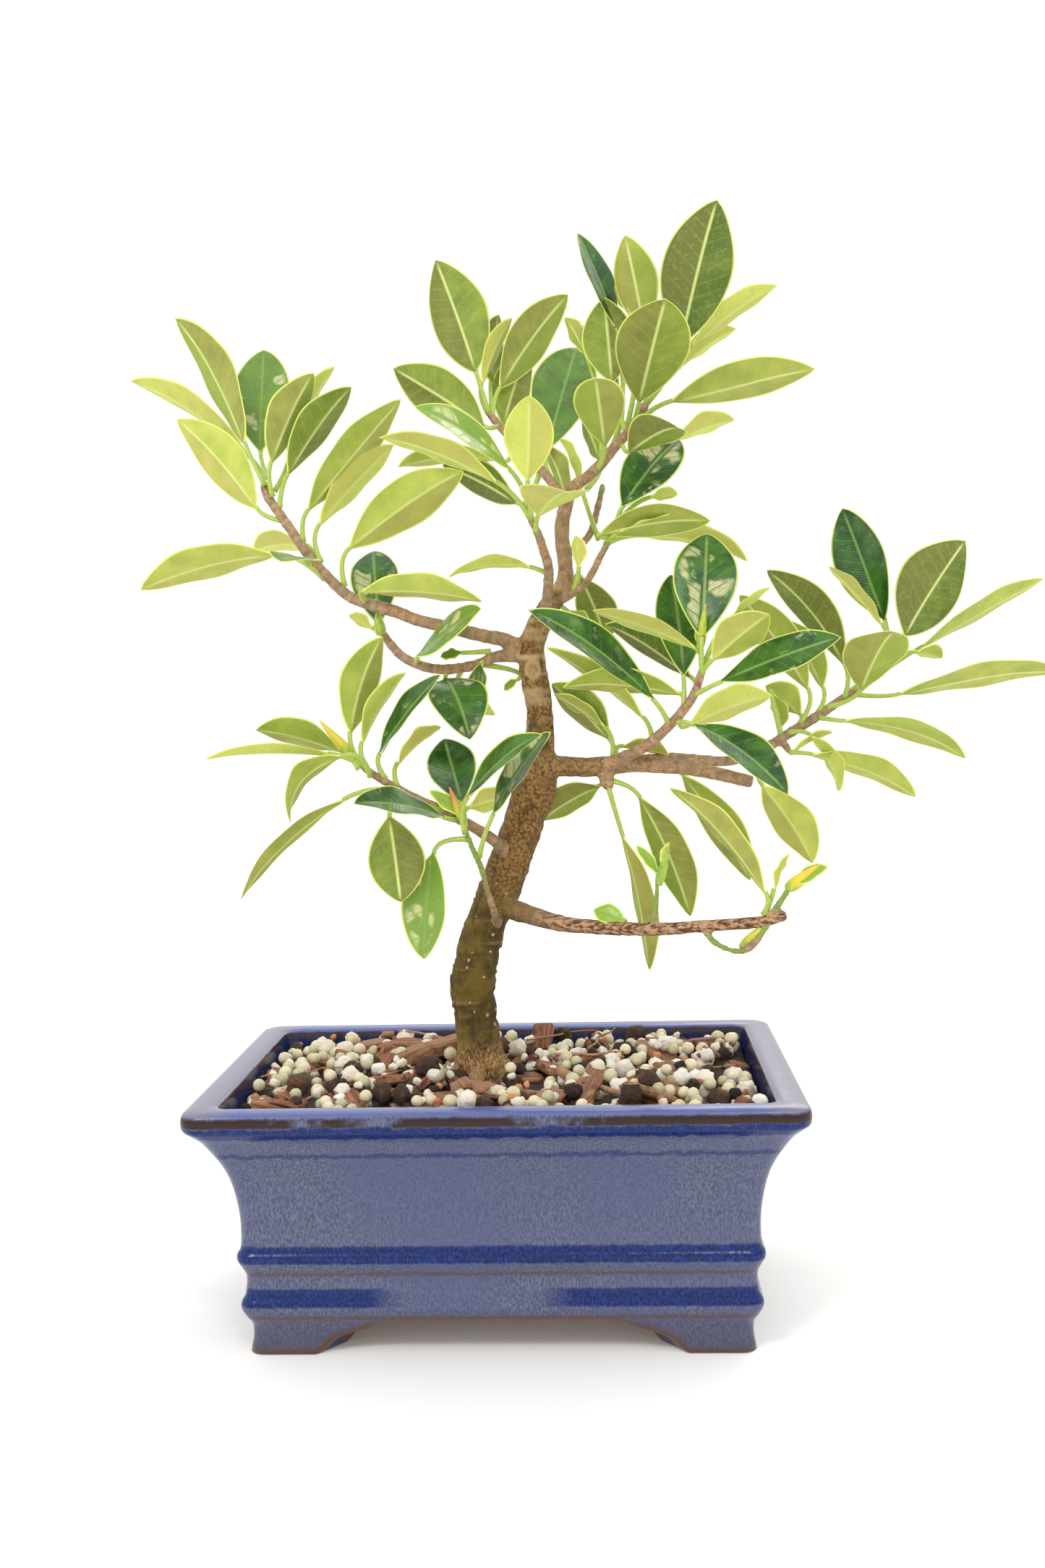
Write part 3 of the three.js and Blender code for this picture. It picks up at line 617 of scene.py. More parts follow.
def glaze_finish():
    """Slate blue, with cobalt where it pooled, brown where it ran thin and a painted
    sheen on both ends of the rim, laid from low to high.
    """
    glaze = Finish("slate_blue_glaze")
    across = glaze.coordinate("X") - pot_middle[0]
    streaks = glaze.noise(0.55, 4.0, glaze.stretched((1, 1, 0.35)))
    ragged = glaze.noise(5.0, 3.0) - 0.5
    drift = glaze.noise(38.0, 2.0) - 0.5
    height = glaze.coordinate("Z") + ragged * 3.2
    level = glaze.coordinate("Z") + ragged * 1.2
    speckle = streaks.ramp(0.36, 0.66)
    slate = glaze.mix(colour("444a6b"), colour("696c80"), speckle)
    slate = glaze.mix(slate, colour("51557c"), drift.ramp(-0.2, 0.25) * 0.6)
    cobalt = glaze.mix(colour("06164e"), colour("163a82"), streaks.ramp(0.38, 0.72))
    under_lip = band(height, 78.0, 82.5, 0.6)
    thin_line = band(height, 70.0, 71.6, 0.7) * 0.7
    on_upper_rib = band(level, 32.4, 38.0)
    both_ends = (1 - (across + drift * 30).ramp(-47, -32)) + (across - drift * 30).ramp(14, 30)
    on_lower_rib = band(level, 17.2, 23.0) * both_ends
    pooled = under_lip.math("MAXIMUM", under_lip, thin_line)
    pooled = pooled.math("MAXIMUM", pooled, on_upper_rib)
    pooled = pooled.math("MAXIMUM", pooled, on_lower_rib)
    tint = glaze.mix(slate, cobalt, pooled)
    low = 1 - level.ramp(0, 17)
    tint = glaze.mix(tint, colour("413c44"), low * 0.6)
    tint = glaze.mix(tint, colour("5f6aa8"), level.ramp(85.6, 86.4) * 0.75)
    # Painted sheen: the two short ends of the rim top get a warm grey-brown highlight as colour.
    ends = abs(across).ramp(84, 97) * level.ramp(85.6, 86.4)
    tint = glaze.mix(tint, colour("8d827e"), ends * (0.35 + streaks * 0.5))
    above_edge = glaze.attribute("above_edge") + ragged * 3.0
    crest = band(level, 27.6, 28.9, 0.6) * 0.75
    crest = crest.math("MAXIMUM", crest, band(level, 12.6, 14.0, 0.6) * 0.8)
    crest = crest.math("MAXIMUM", crest, (1 - above_edge.ramp(0.4, 3.4)) * 0.95)
    tint = glaze.mix(tint, colour("5e4334"), crest)
    lip = band(level, 82.6, 85.5, 0.5)
    tint = glaze.mix(tint, colour("2e1a14"), lip * (ragged + drift * 2).ramp(-0.42, -0.1))
    side = glaze.attribute("side")
    inside = band(side, 0.5, 1.5, 0.1)
    navy = glaze.mix(colour("18244f"), colour("2b417f"), streaks.ramp(0.4, 0.8))
    navy = glaze.mix(navy, colour("4a3526"), band(level, 84.2, 86.0, 0.5) * 0.8)
    tint = glaze.mix(tint, navy, inside * (1 - level.ramp(85.7, 86.5)))
    clay = glaze.mix(colour("8a5c44"), colour("6b4636"), glaze.noise(3.0))
    tint = glaze.mix(tint, clay, side.ramp(1.5, 1.9))
    skin = glaze.noise(1.4, 4.0) * 0.5 + glaze.noise(7.0, 2.0)
    gloss = 0.13 + speckle * 0.1 + side.ramp(1.5, 1.9) * 0.55
    normal = glaze.bump(skin, 0.25, 0.5)
    return glaze.surface(
        Base_Color=tint, Roughness=gloss, Normal=normal, Specular_IOR_Level=0.32
    )


glaze = glaze_finish()
finished(pot, glaze, ["pot"])
print("glaze on", pot.name)

# %% [markdown]
# ### Drain screens
#
# A square of green-black plastic mesh keeps the mix in over each drain hole. Its shape is
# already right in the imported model, so it only needs its moulded plastic.
# %% Plastic of the drain screens
def screen_finish():
    """Green-black moulded plastic."""
    plastic = Finish("moulded_plastic")
    grain = plastic.noise(0.6, 2.0)
    tint = plastic.mix(colour("1f2c25"), colour("2c3d33"), grain)
    normal = plastic.bump(grain, 0.05, 0.6)
    return plastic.surface(Base_Color=tint, Roughness=0.5 + grain * 0.2, Normal=normal)


plastic = screen_finish()
for node in ("drain_screen_left", "drain_screen_right"):
    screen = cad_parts[node]
    screen.data.materials.clear()
    screen.data.materials.append(plastic)
print("plastic on two drain screens")

# %% [markdown]
# ## The wood
#
# A tree could be grown by rules, but a bonsai is bent and cut by hand, so each limb is given as
# it is. Each limb is a route of stations with its width at each, drawn as it shows from one
# viewpoint in front, on a plane through the middle of the pot. The third column says how far
# behind that plane a station lies along its own line of sight, and most limbs swing back or
# forward as well, by a share of the distance from their foot. Moving a point back along its
# line of sight makes it and what hangs on it bigger by the same factor. The whole tree leans by
# a little over a degree.
# %% Routes of the limbs
limbs = {
    "trunk": [
        [-3.5, 8, 58, 13], [-4.2, 8, 72, 18], [-5, 7, 84, 20], [-6.4, 6, 93, 17],
        [-7.8, 5, 105, 15.6], [-8.4, 4, 117, 16.8], [-6.3, 3, 129, 15.4], [-3.1, 2, 140, 14.6],
        [1.3, 1, 150, 16.2], [5, 1, 161, 14.8], [9.7, 0, 174.5, 15], [14, 0, 188, 16],
        [14.6, 0, 196, 14], [15.5, 0, 205, 10.8], [16, 0, 214, 9.8], [15, 0, 223, 9.8],
        [13.4, 0, 232, 10.6], [13, 0, 239, 9.6], [15.2, 0, 246, 9], [19, 0, 253, 8],
        [24.4, 1, 261, 6.4], [25.2, 1, 268, 5.4], [24.2, 1, 275, 5.4], [23.9, 1, 283, 5.6],
        [25.6, 1, 291, 5.2], [26.6, 0, 295.5, 4.2],
    ],
    "crown_right": [
        [25.4, 1, 290, 4.6], [28, -1, 296.4, 4.3], [32.4, -2, 299.4, 4.2], [37.8, -3, 304.5, 4],
        [42.3, -4, 310, 3.8], [48.9, -5, 317.6, 3.6], [54, -6, 326, 3],
    ],
    "crown_left": [
        [25.4, 1, 289, 4], [21.3, 1, 296.6, 3.6], [16, 2, 303, 3.4], [9, 3, 310, 3.2],
        [2, 4, 317.6, 3], [-2.6, 4, 323, 2.6],
    ],
    "crown_front": [
        [17.6, -1, 250, 4], [18.9, -4, 260, 3.8], [19, -6, 268, 3.6], [17.2, -7, 274, 3.4],
        [15.2, -8, 280, 3], [11.2, -9, 288, 2.4],
    ],
    "crown_side": [
        [23, 0, 256, 4], [28, -2, 258.6, 3.4], [32, -4, 261.6, 3], [35, -5, 266, 2.8],
        [38, -6, 272, 2.6], [42.4, -8, 280, 2.2],
    ],
    "crown_back": [
        [25, 2, 272, 3.4], [33, 6, 278, 2.8], [36, 9, 286, 2.6], [38.6, 11, 297, 2.2],
    ],
    "upper_left": [
        [13.4, 0, 236, 6.4], [7.5, -2, 239.5, 5.8], [2, -3, 242, 5.2], [-4, -4, 243, 4.8],
        [-18.6, -6, 246.5, 4.6], [-29, -7, 249, 4.4], [-36, -8, 251.8, 4.6],
        [-45.6, -9, 254.6, 4.4], [-53.5, -9, 257.6, 4], [-61, -10, 264.3, 3.9],
        [-67.2, -10, 271.2, 3.8], [-72.8, -10, 279, 3.6], [-77.6, -10, 286, 3.5],
        [-82.6, -10, 293, 3.4], [-84.6, -10, 298, 2.6],
    ],
    "left": [
        [9, -1, 236, 5], [-0.2, -3, 235.5, 4.2], [-5.2, -4, 233.2, 4], [-11.3, -4, 231.8, 3.8],
        [-18.6, -3, 231, 3.8], [-26, -1, 232, 3.6], [-33.3, 1, 235.2, 3.4], [-37.4, 2, 239, 3.3],
        [-40.8, 3, 243.5, 3], [-43.2, 3, 246.6, 2.4],
    ],
    "lower_left": [
        [6, -2, 163, 5.4], [-1, -6, 169, 4.4], [-9.7, -9, 174.5, 4], [-20, -10, 180, 3.7],
        [-29, -10, 184, 3.5], [-38.3, -10, 189, 3.2], [-45, -10, 193, 3], [-50, -10, 197, 2.6],
    ],
    "front_twig": [
        [0.5, -3, 138, 3.2], [-0.5, -10, 142, 2.8], [-3, -12.5, 150, 2.5], [-5.5, -13.5, 159, 2.3],
        [-8.9, -14, 166.5, 2.2], [-11.6, -14, 174, 2],
    ],
    "low_right": [
        [-1, 0, 146, 8], [9.2, -4, 142.5, 7.4], [23, -7, 138.6, 6], [35.7, -9, 137.4, 5.3],
        [48.3, -11, 136.8, 5], [61, -13, 136.8, 4.7], [75, -15, 138, 4.5], [94.3, -17, 139.6, 4.4],
        [105.3, -18, 142.3, 4],
    ],
    "right": [
        [13, 0, 196, 9.4], [20, -1, 196, 7.6], [31, -2, 195.6, 7.2], [40, -3, 196.2, 7],
        [53, -4, 196.6, 5.8], [67.6, -6, 195.6, 5.4], [77, -7, 194, 5], [86, -8, 192, 4.8],
        [93, -9, 190.4, 4.6],
    ],
    "right_shoot": [
        [38, -3, 196, 5], [46.8, -6, 199.4, 4.6], [55, -8, 203.8, 4.2], [62.3, -10, 210.3, 3.8],
        [68, -12, 216.6, 3.6], [71.8, -13, 222.4, 3.3], [74.6, -14, 231, 2.8],
    ],
    "far_right": [
        [50, -3, 197.6, 4.4], [57, 1, 198.6, 4], [64, 4, 199, 3.9], [73, 6, 198.4, 3.8],
        [85, 7, 198, 3.8], [98, 7, 203, 3.7], [104, 7, 206.7, 3.6], [110, 7, 210.4, 3.6],
        [117, 7, 214.8, 3.5], [125, 7, 220.4, 3.2], [130, 7, 223.5, 2.6],
    ],
    "right_knob": [
        [39, -3, 196, 5], [40.4, -4, 191, 5.4], [41, -5, 187.6, 3.4],
    ],
    "far_right_spur": [
        [103, 7, 206, 2.8], [105, 4, 202.6, 2.4], [106.5, 3, 200.6, 2],
    ],
    "low_shoot_middle": [
        [57.6, -12, 138, 2.6], [58.6, -13, 149.4, 2.1], [59.1, -13, 156.7, 1.8],
        [62.5, -14, 167.5, 1.2],
    ],
    "low_shoot_end": [
        [99, -17.5, 141, 2.8], [104.8, -19, 149.4, 2.3], [107.1, -20, 153, 2.2],
        [117, -22, 161, 1.4],
    ],
    "low_shoot_under": [
        [75.5, -15, 137.5, 2.8], [79.8, -16, 132, 2.3], [87.2, -17, 129, 2.2], [93, -18, 131, 3],
        [99.3, -18, 139, 1.6],
    ],
}
viewpoint = np.array([37.0, -580.0, 220.0])
swings = {  # the foot in x and z, and the share
    "upper_left": (13.4, 236, 0.28),
    "left": (9, 236, 0.28),
    "lower_left": (6, 163, -0.3),
    "front_twig": (0.5, 138, -0.2),
    "low_right": (-1, 147, -0.35),
    "low_shoot_middle": (-1, 147, -0.35),
    "low_shoot_end": (-1, 147, -0.35),
    "low_shoot_under": (-1, 147, -0.35),
    "right_shoot": (38, 196, -0.2),
    "far_right": (50, 197.6, 0.4),
    "far_right_spur": (50, 197.6, 0.4),
    "crown_left": (25.4, 289, 0.4),
    "crown_front": (17.6, 250, -0.35),
    "crown_side": (23, 256, -0.2),
    "crown_back": (25, 272, 0.5),
    "crown_right": (25.4, 290, -0.25),
}
print(len(limbs), "limbs")

# %% From drawn places to real ones
tree_lean = math.radians(1.35)
tree_foot_x = -5.2


def stretch_at(limb, points):
    """1 + (depth + share · distance from the limb's foot) / distance of the viewpoint."""
    points = np.asarray(points, dtype=float)
    x, z, share = swings.get(limb, (0, 0, 0))
    away = np.hypot(points[..., 0] - x, points[..., 2] - z)
    return 1 - (points[..., 1] + share * away) / viewpoint[1]


def turned(vectors):
    """Directions of the tree turned by its lean, about the axis that points to the back."""
    return np.asarray(vectors) @ turn_about(1, tree_lean).T


def placed(limb, points):
    """viewpoint + (drawn point - viewpoint) · stretch, then leant and put in the pot."""
    points = np.asarray(points, dtype=float)
    drawn = points * [1, 0, 1]
    real = viewpoint + (drawn - viewpoint) * stretch_at(limb, points)[..., None]
    return turned(real) + [pot_middle[0] + tree_foot_x, pot_middle[1], 0]


def limb_line(limb):
    """Close stations along a limb: place, and radius."""
    route = np.array(limbs[limb], dtype=float)
    radius = route[:, 3] / 2 * stretch_at(limb, route[:, :3])
    line = smooth_steps(np.column_stack([placed(limb, route[:, :3]), radius]), 6)
    return line[:, :3], line[:, 3]


trunk_line, _ = limb_line("trunk")
print("trunk from", trunk_line[0].round(1), "to", trunk_line[-1].round(1))

# %% [markdown]
# ### One skin for all the wood
#
# Limbs grow out of each other with no seam. Booleans could join them, but would leave a crease
# at each fork. So all their tubes are laid in one mesh, a voxel remesh melts them into one
# skin, and a few rounds of smoothing fill the crotches. Then every point of the skin looks up
# the nearest station of the nearest limb. That gives it the limb's number, a distance along the
# limb and the limb's width there, which is what bark follows.
#
# Bark could be a bump in the finish alone, but its pores and rings show on the outline too. So
# bark is then pushed out of the skin along the normals. The trunk gets broad swellings, level
# wrinkles, small upright cracks and raised pores, and two rings where branches were cut. The
# twigs get a ring wherever a leaf has fallen. Thick surface roots run from the foot of the
# trunk under the mix.
# %% Skin of the wood
root_headings = (200, 262, 330, 35, 110)
root_collar = trunk_line[12]


def root_line(heading):
    """A root that leaves the foot of the trunk towards a heading and dives under the mix."""
    reach = np.array([0, 7, 11, 14])[:, None] * [math.cos(heading), math.sin(heading)]
    level = np.array([92, 84.5, 79, 72])
    stations = np.column_stack([root_collar[:2] + reach, level, [4.5, 3.8, 2.8, 1.8]])
    line = smooth_steps(stations, 5)
    return line[:, :3], line[:, 3]


def gather_lines():
    """All stations in one array: place, radius, distance along the limb, limb number."""
    lines = [limb_line(limb) for limb in limbs]
    lines += [root_line(math.radians(heading)) for heading in root_headings]
    rows = []
    for number, (path, radius) in enumerate(lines):
        steps = np.linalg.norm(np.diff(path, axis=0), axis=1)
        along = np.append(0, np.cumsum(steps))
        rows.append(np.column_stack([path, radius, along, np.full(len(path), number)]))
    return lines, np.vstack(rows)


wood_lines, stations = gather_lines()


def fused_skin(lines, around=20, voxel=0.72, rounds=5):
    """Tubes along the lines, melted into one skin by a voxel remesh and then smoothed."""
    tubes = [loft(tube(path, radius, around)) for path, radius in lines]
    wood = new_object("bonsai_wood", *joined(tubes))
    melt = wood.modifiers.new("melt", "REMESH")
    melt.mode = "VOXEL"
    melt.voxel_size = voxel * mm
    calm = wood.modifiers.new("calm", "SMOOTH")
    calm.factor = 0.5
    calm.iterations = rounds
    apply_modifiers(wood)
    return wood


wood = fused_skin(wood_lines)
print("wood of", len(wood.data.polygons), "faces")

# %% Where the skin lies on its limbs
def nearest_stations(points, batch=4000):
    """For each point, the station with the smallest distance less the limb's radius."""
    nearest = []
    for start in range(0, len(points), batch):
        part = points[start : start + batch, None]
        away = np.linalg.norm(part - stations[None, :, :3], axis=2) - stations[None, :, 3]
        nearest.append(away.argmin(axis=1))
    return np.concatenate(nearest)


print(len(stations), "stations on", len(wood_lines), "limbs and roots")

# %% Pores
def pores(points, size, seed, share):
    """Round bumps: scattered centres of their own, one to a cell of this size, in a share of
    the cells. A bump is 1 at its centre and falls to 0 as the square of the distance grows."""
    low = np.floor(points / size).astype(np.int64)
    height = np.zeros(len(points))
    for corner in itertools.product((-1, 0, 1), repeat=3):
        cell = low + corner
        middle = (cell + 0.5) * size
        shift = np.column_stack([lumps(middle, size * 0.37, seed + k) for k in range(3)])
        chosen = lumps(middle, size * 0.41, seed + 7) > 1 - 2 * share
        away = np.linalg.norm(points - middle - shift * size * 0.45, axis=1)
        bump = np.clip(1 - (away / (0.26 * size)) ** 2, 0, 1)
        height = np.maximum(height, np.where(chosen, bump, 0))
    return height


print("highest pore on the trunk's line:", pores(trunk_line, 3.1, 11, 0.42).max().round(2))

# %% Bark
old_scars = [[-5.5, -12, 129], [13.5, -7, 231]]  # drawn on the front of the trunk


def grow_bark(wood):
    """Moves the skin out along its normals by the bark's height, and marks what it stands for."""
    points, _ = corners_of(wood.data)
    points = points / mm
    normals = np.empty(3 * len(points))
    wood.data.vertices.foreach_get("normal", normals)
    normals = normals.reshape(-1, 3)
    found = stations[nearest_stations(points)]
    radius, along, limb = found[:, 3], found[:, 4], found[:, 5]
    thick = np.clip((radius - 2.2) / 3.5, 0, 1)
    height_above = points[:, 2]
    drift = lumps(points, 22, 1)
    squeezed = points * [1, 1, 0.28]
    cracks = lumps(squeezed, 0.95, 2) * 0.6 + lumps(squeezed, 2.1, 3)
    level_place = points * [0.12, 0.12, 1] + drift[:, None] * 1.5
    wrinkles = lumps(level_place, 1.6, 4) + 0.7 * lumps(level_place, 3.3, 5)
    broad = lumps(points, 7, 6) + 0.6 * lumps(points, 3.2, 8)
    low_part = 1 - np.clip((height_above - 125) / 45, 0, 1)
    warts = pores(points, 3.1, 11, 0.42) * np.clip(thick * 1.6, 0, 1) * (0.35 + 0.65 * low_part)
    foot = np.clip((97 - height_above) / 14, 0, 1)
    bark = thick * (0.45 * broad + 0.32 * wrinkles - 0.36 * np.clip(cracks, 0, 2))
    bark += 0.75 * warts - 0.4 * foot * np.clip(cracks, 0, 2)
    spacing = 5.5 + 1.6 * np.sin(limb * 1.7)
    phase = (along + 1.2 * lumps(points, 9, 9)) / spacing
    ring = np.exp(-((((phase % 1) - 0.5) * spacing / 0.75) ** 2))
    twig = 1 - thick
    bark += twig * (0.16 * ring + 0.07 * broad + 0.05 * wrinkles)
    scar = np.zeros(len(points))
    for spot in old_scars:
        away = np.linalg.norm(points - placed("trunk", spot), axis=1)
        scar += np.exp(-(((away - 3.4) / 0.9) ** 2)) + 0.6 * np.exp(-(((away - 1.6) / 0.7) ** 2))
    bark += 0.6 * scar
    moved = points + normals * bark[:, None]
    wood.data.vertices.foreach_set("co", (moved * mm).ravel())
    marks = {"thick": thick, "warts": warts, "ring": ring * twig, "cracks": cracks,
             "wrinkles": wrinkles, "low_part": low_part, "along": along, "limb": limb,
             "radius": radius, "scar": np.clip(scar, 0, 1)}
    mark_points(wood.data, marks)
    wood.data.shade_smooth()
    wood.data.update()


grow_bark(wood)
print("bark on", len(wood.data.vertices), "points")

# %% [markdown]
# ### Bark colours
#
# The lower trunk is olive with a thin film of algae and dotted with pale pores, and the cracks
# at its foot are tan. Higher up it turns grey-brown, and the twigs are a reddish tan with pale
# rings. The lowest branch is red-brown and stringy. The newest shoots are green. Noise alone
# can't tell these apart, so the finish reads the marks that the last step left on the skin.
# %% Bark finish
def bark_finish():
    """Olive, grey, tan, red and green bark, each where the marks on the skin put it."""
    bark = Finish("fig_bark")
    thick, low = bark.attribute("thick"), bark.attribute("low_part")
    radius, cracks = bark.attribute("radius"), bark.attribute("cracks")
    wrinkles = bark.attribute("wrinkles")
    fibre = bark.noise(0.55, 4.0, bark.stretched((1, 1, 0.3)))
    patch = bark.noise(6.0, 4.0)
    fine = bark.noise(1.1, 4.0)
    olive = bark.mix(colour("3a3006"), colour("74611a"), patch.ramp(0.35, 0.68))
    olive = bark.mix(olive, colour("97794a"), wrinkles.ramp(0.25, 1.1) * 0.6)
    grey = bark.mix(colour("50360f"), colour("a27c42"), fine.ramp(0.32, 0.68))
    grey = bark.mix(grey, colour("6b4728"), patch.ramp(0.5, 0.7) * 0.6)
    high = bark.coordinate("Z").ramp(185, 245)
    grey = bark.mix(grey, colour("cdb183"), high * wrinkles.ramp(-0.4, 0.9) * 0.8)
    trunk = bark.mix(grey, olive, low.ramp(0.15, 0.8) * 0.85)
    trunk = bark.mix(trunk, colour("3b2f1c"), cracks.ramp(0.35, 1.1) * 0.75)
    trunk = bark.mix(trunk, colour("cfc59a"), bark.attribute("warts").ramp(0.2, 0.6) * 0.85)
    tan = bark.mix(colour("96714c"), colour("c39c74"), fine.ramp(0.3, 0.7))
    tan = bark.mix(tan, colour("8c7a60"), patch.ramp(0.42, 0.6) * 0.6)
    tan = bark.mix(tan, colour("6a5238"), bark.noise(2.2, 4.0).ramp(0.52, 0.66) * 0.55)
    tan = bark.mix(tan, colour("d8c3a2"), bark.attribute("ring") * 0.22)
    tint = bark.mix(tan, trunk, thick.ramp(0.02, 0.6))
    limb = bark.attribute("limb")
    stringy = band(limb, low_right_number - 0.5, low_right_number + 0.5, 0.05)
    strings = bark.noise(1.1, 3.0, bark.stretched((0.1, 1, 1)))
    red = bark.mix(colour("5c3218"), colour("c09a76"), strings.ramp(0.38, 0.62))
    tint = bark.mix(tint, red, stringy * bark.attribute("along").ramp(14, 34))
    green = bark.mix(colour("6f8a35"), colour("96ad52"), fine)
    tint = bark.mix(tint, green, 1 - radius.ramp(1.05, 1.3))
    foot = 1 - bark.coordinate("Z").ramp(88, 98)
    tint = bark.mix(tint, colour("b98b5c"), foot * fibre.ramp(0.4, 0.6) * 0.9)
    scar = bark.attribute("scar")
    tint = bark.mix(tint, colour("c7a878"), scar * 0.75)
    relief = fibre + fine * 0.7 + bark.noise(2.6, 3.0) * 0.6 + strings * stringy * 1.5
    return bark.surface(
        Base_Color=tint, Roughness=0.72 + fine * 0.2, Normal=bark.bump(relief, 0.5, 0.8)
    )


low_right_number = list(limbs).index("low_right")
bark = bark_finish()
finished(wood, bark, ["trunk_and_branches"])
print("bark finish on", wood.name)

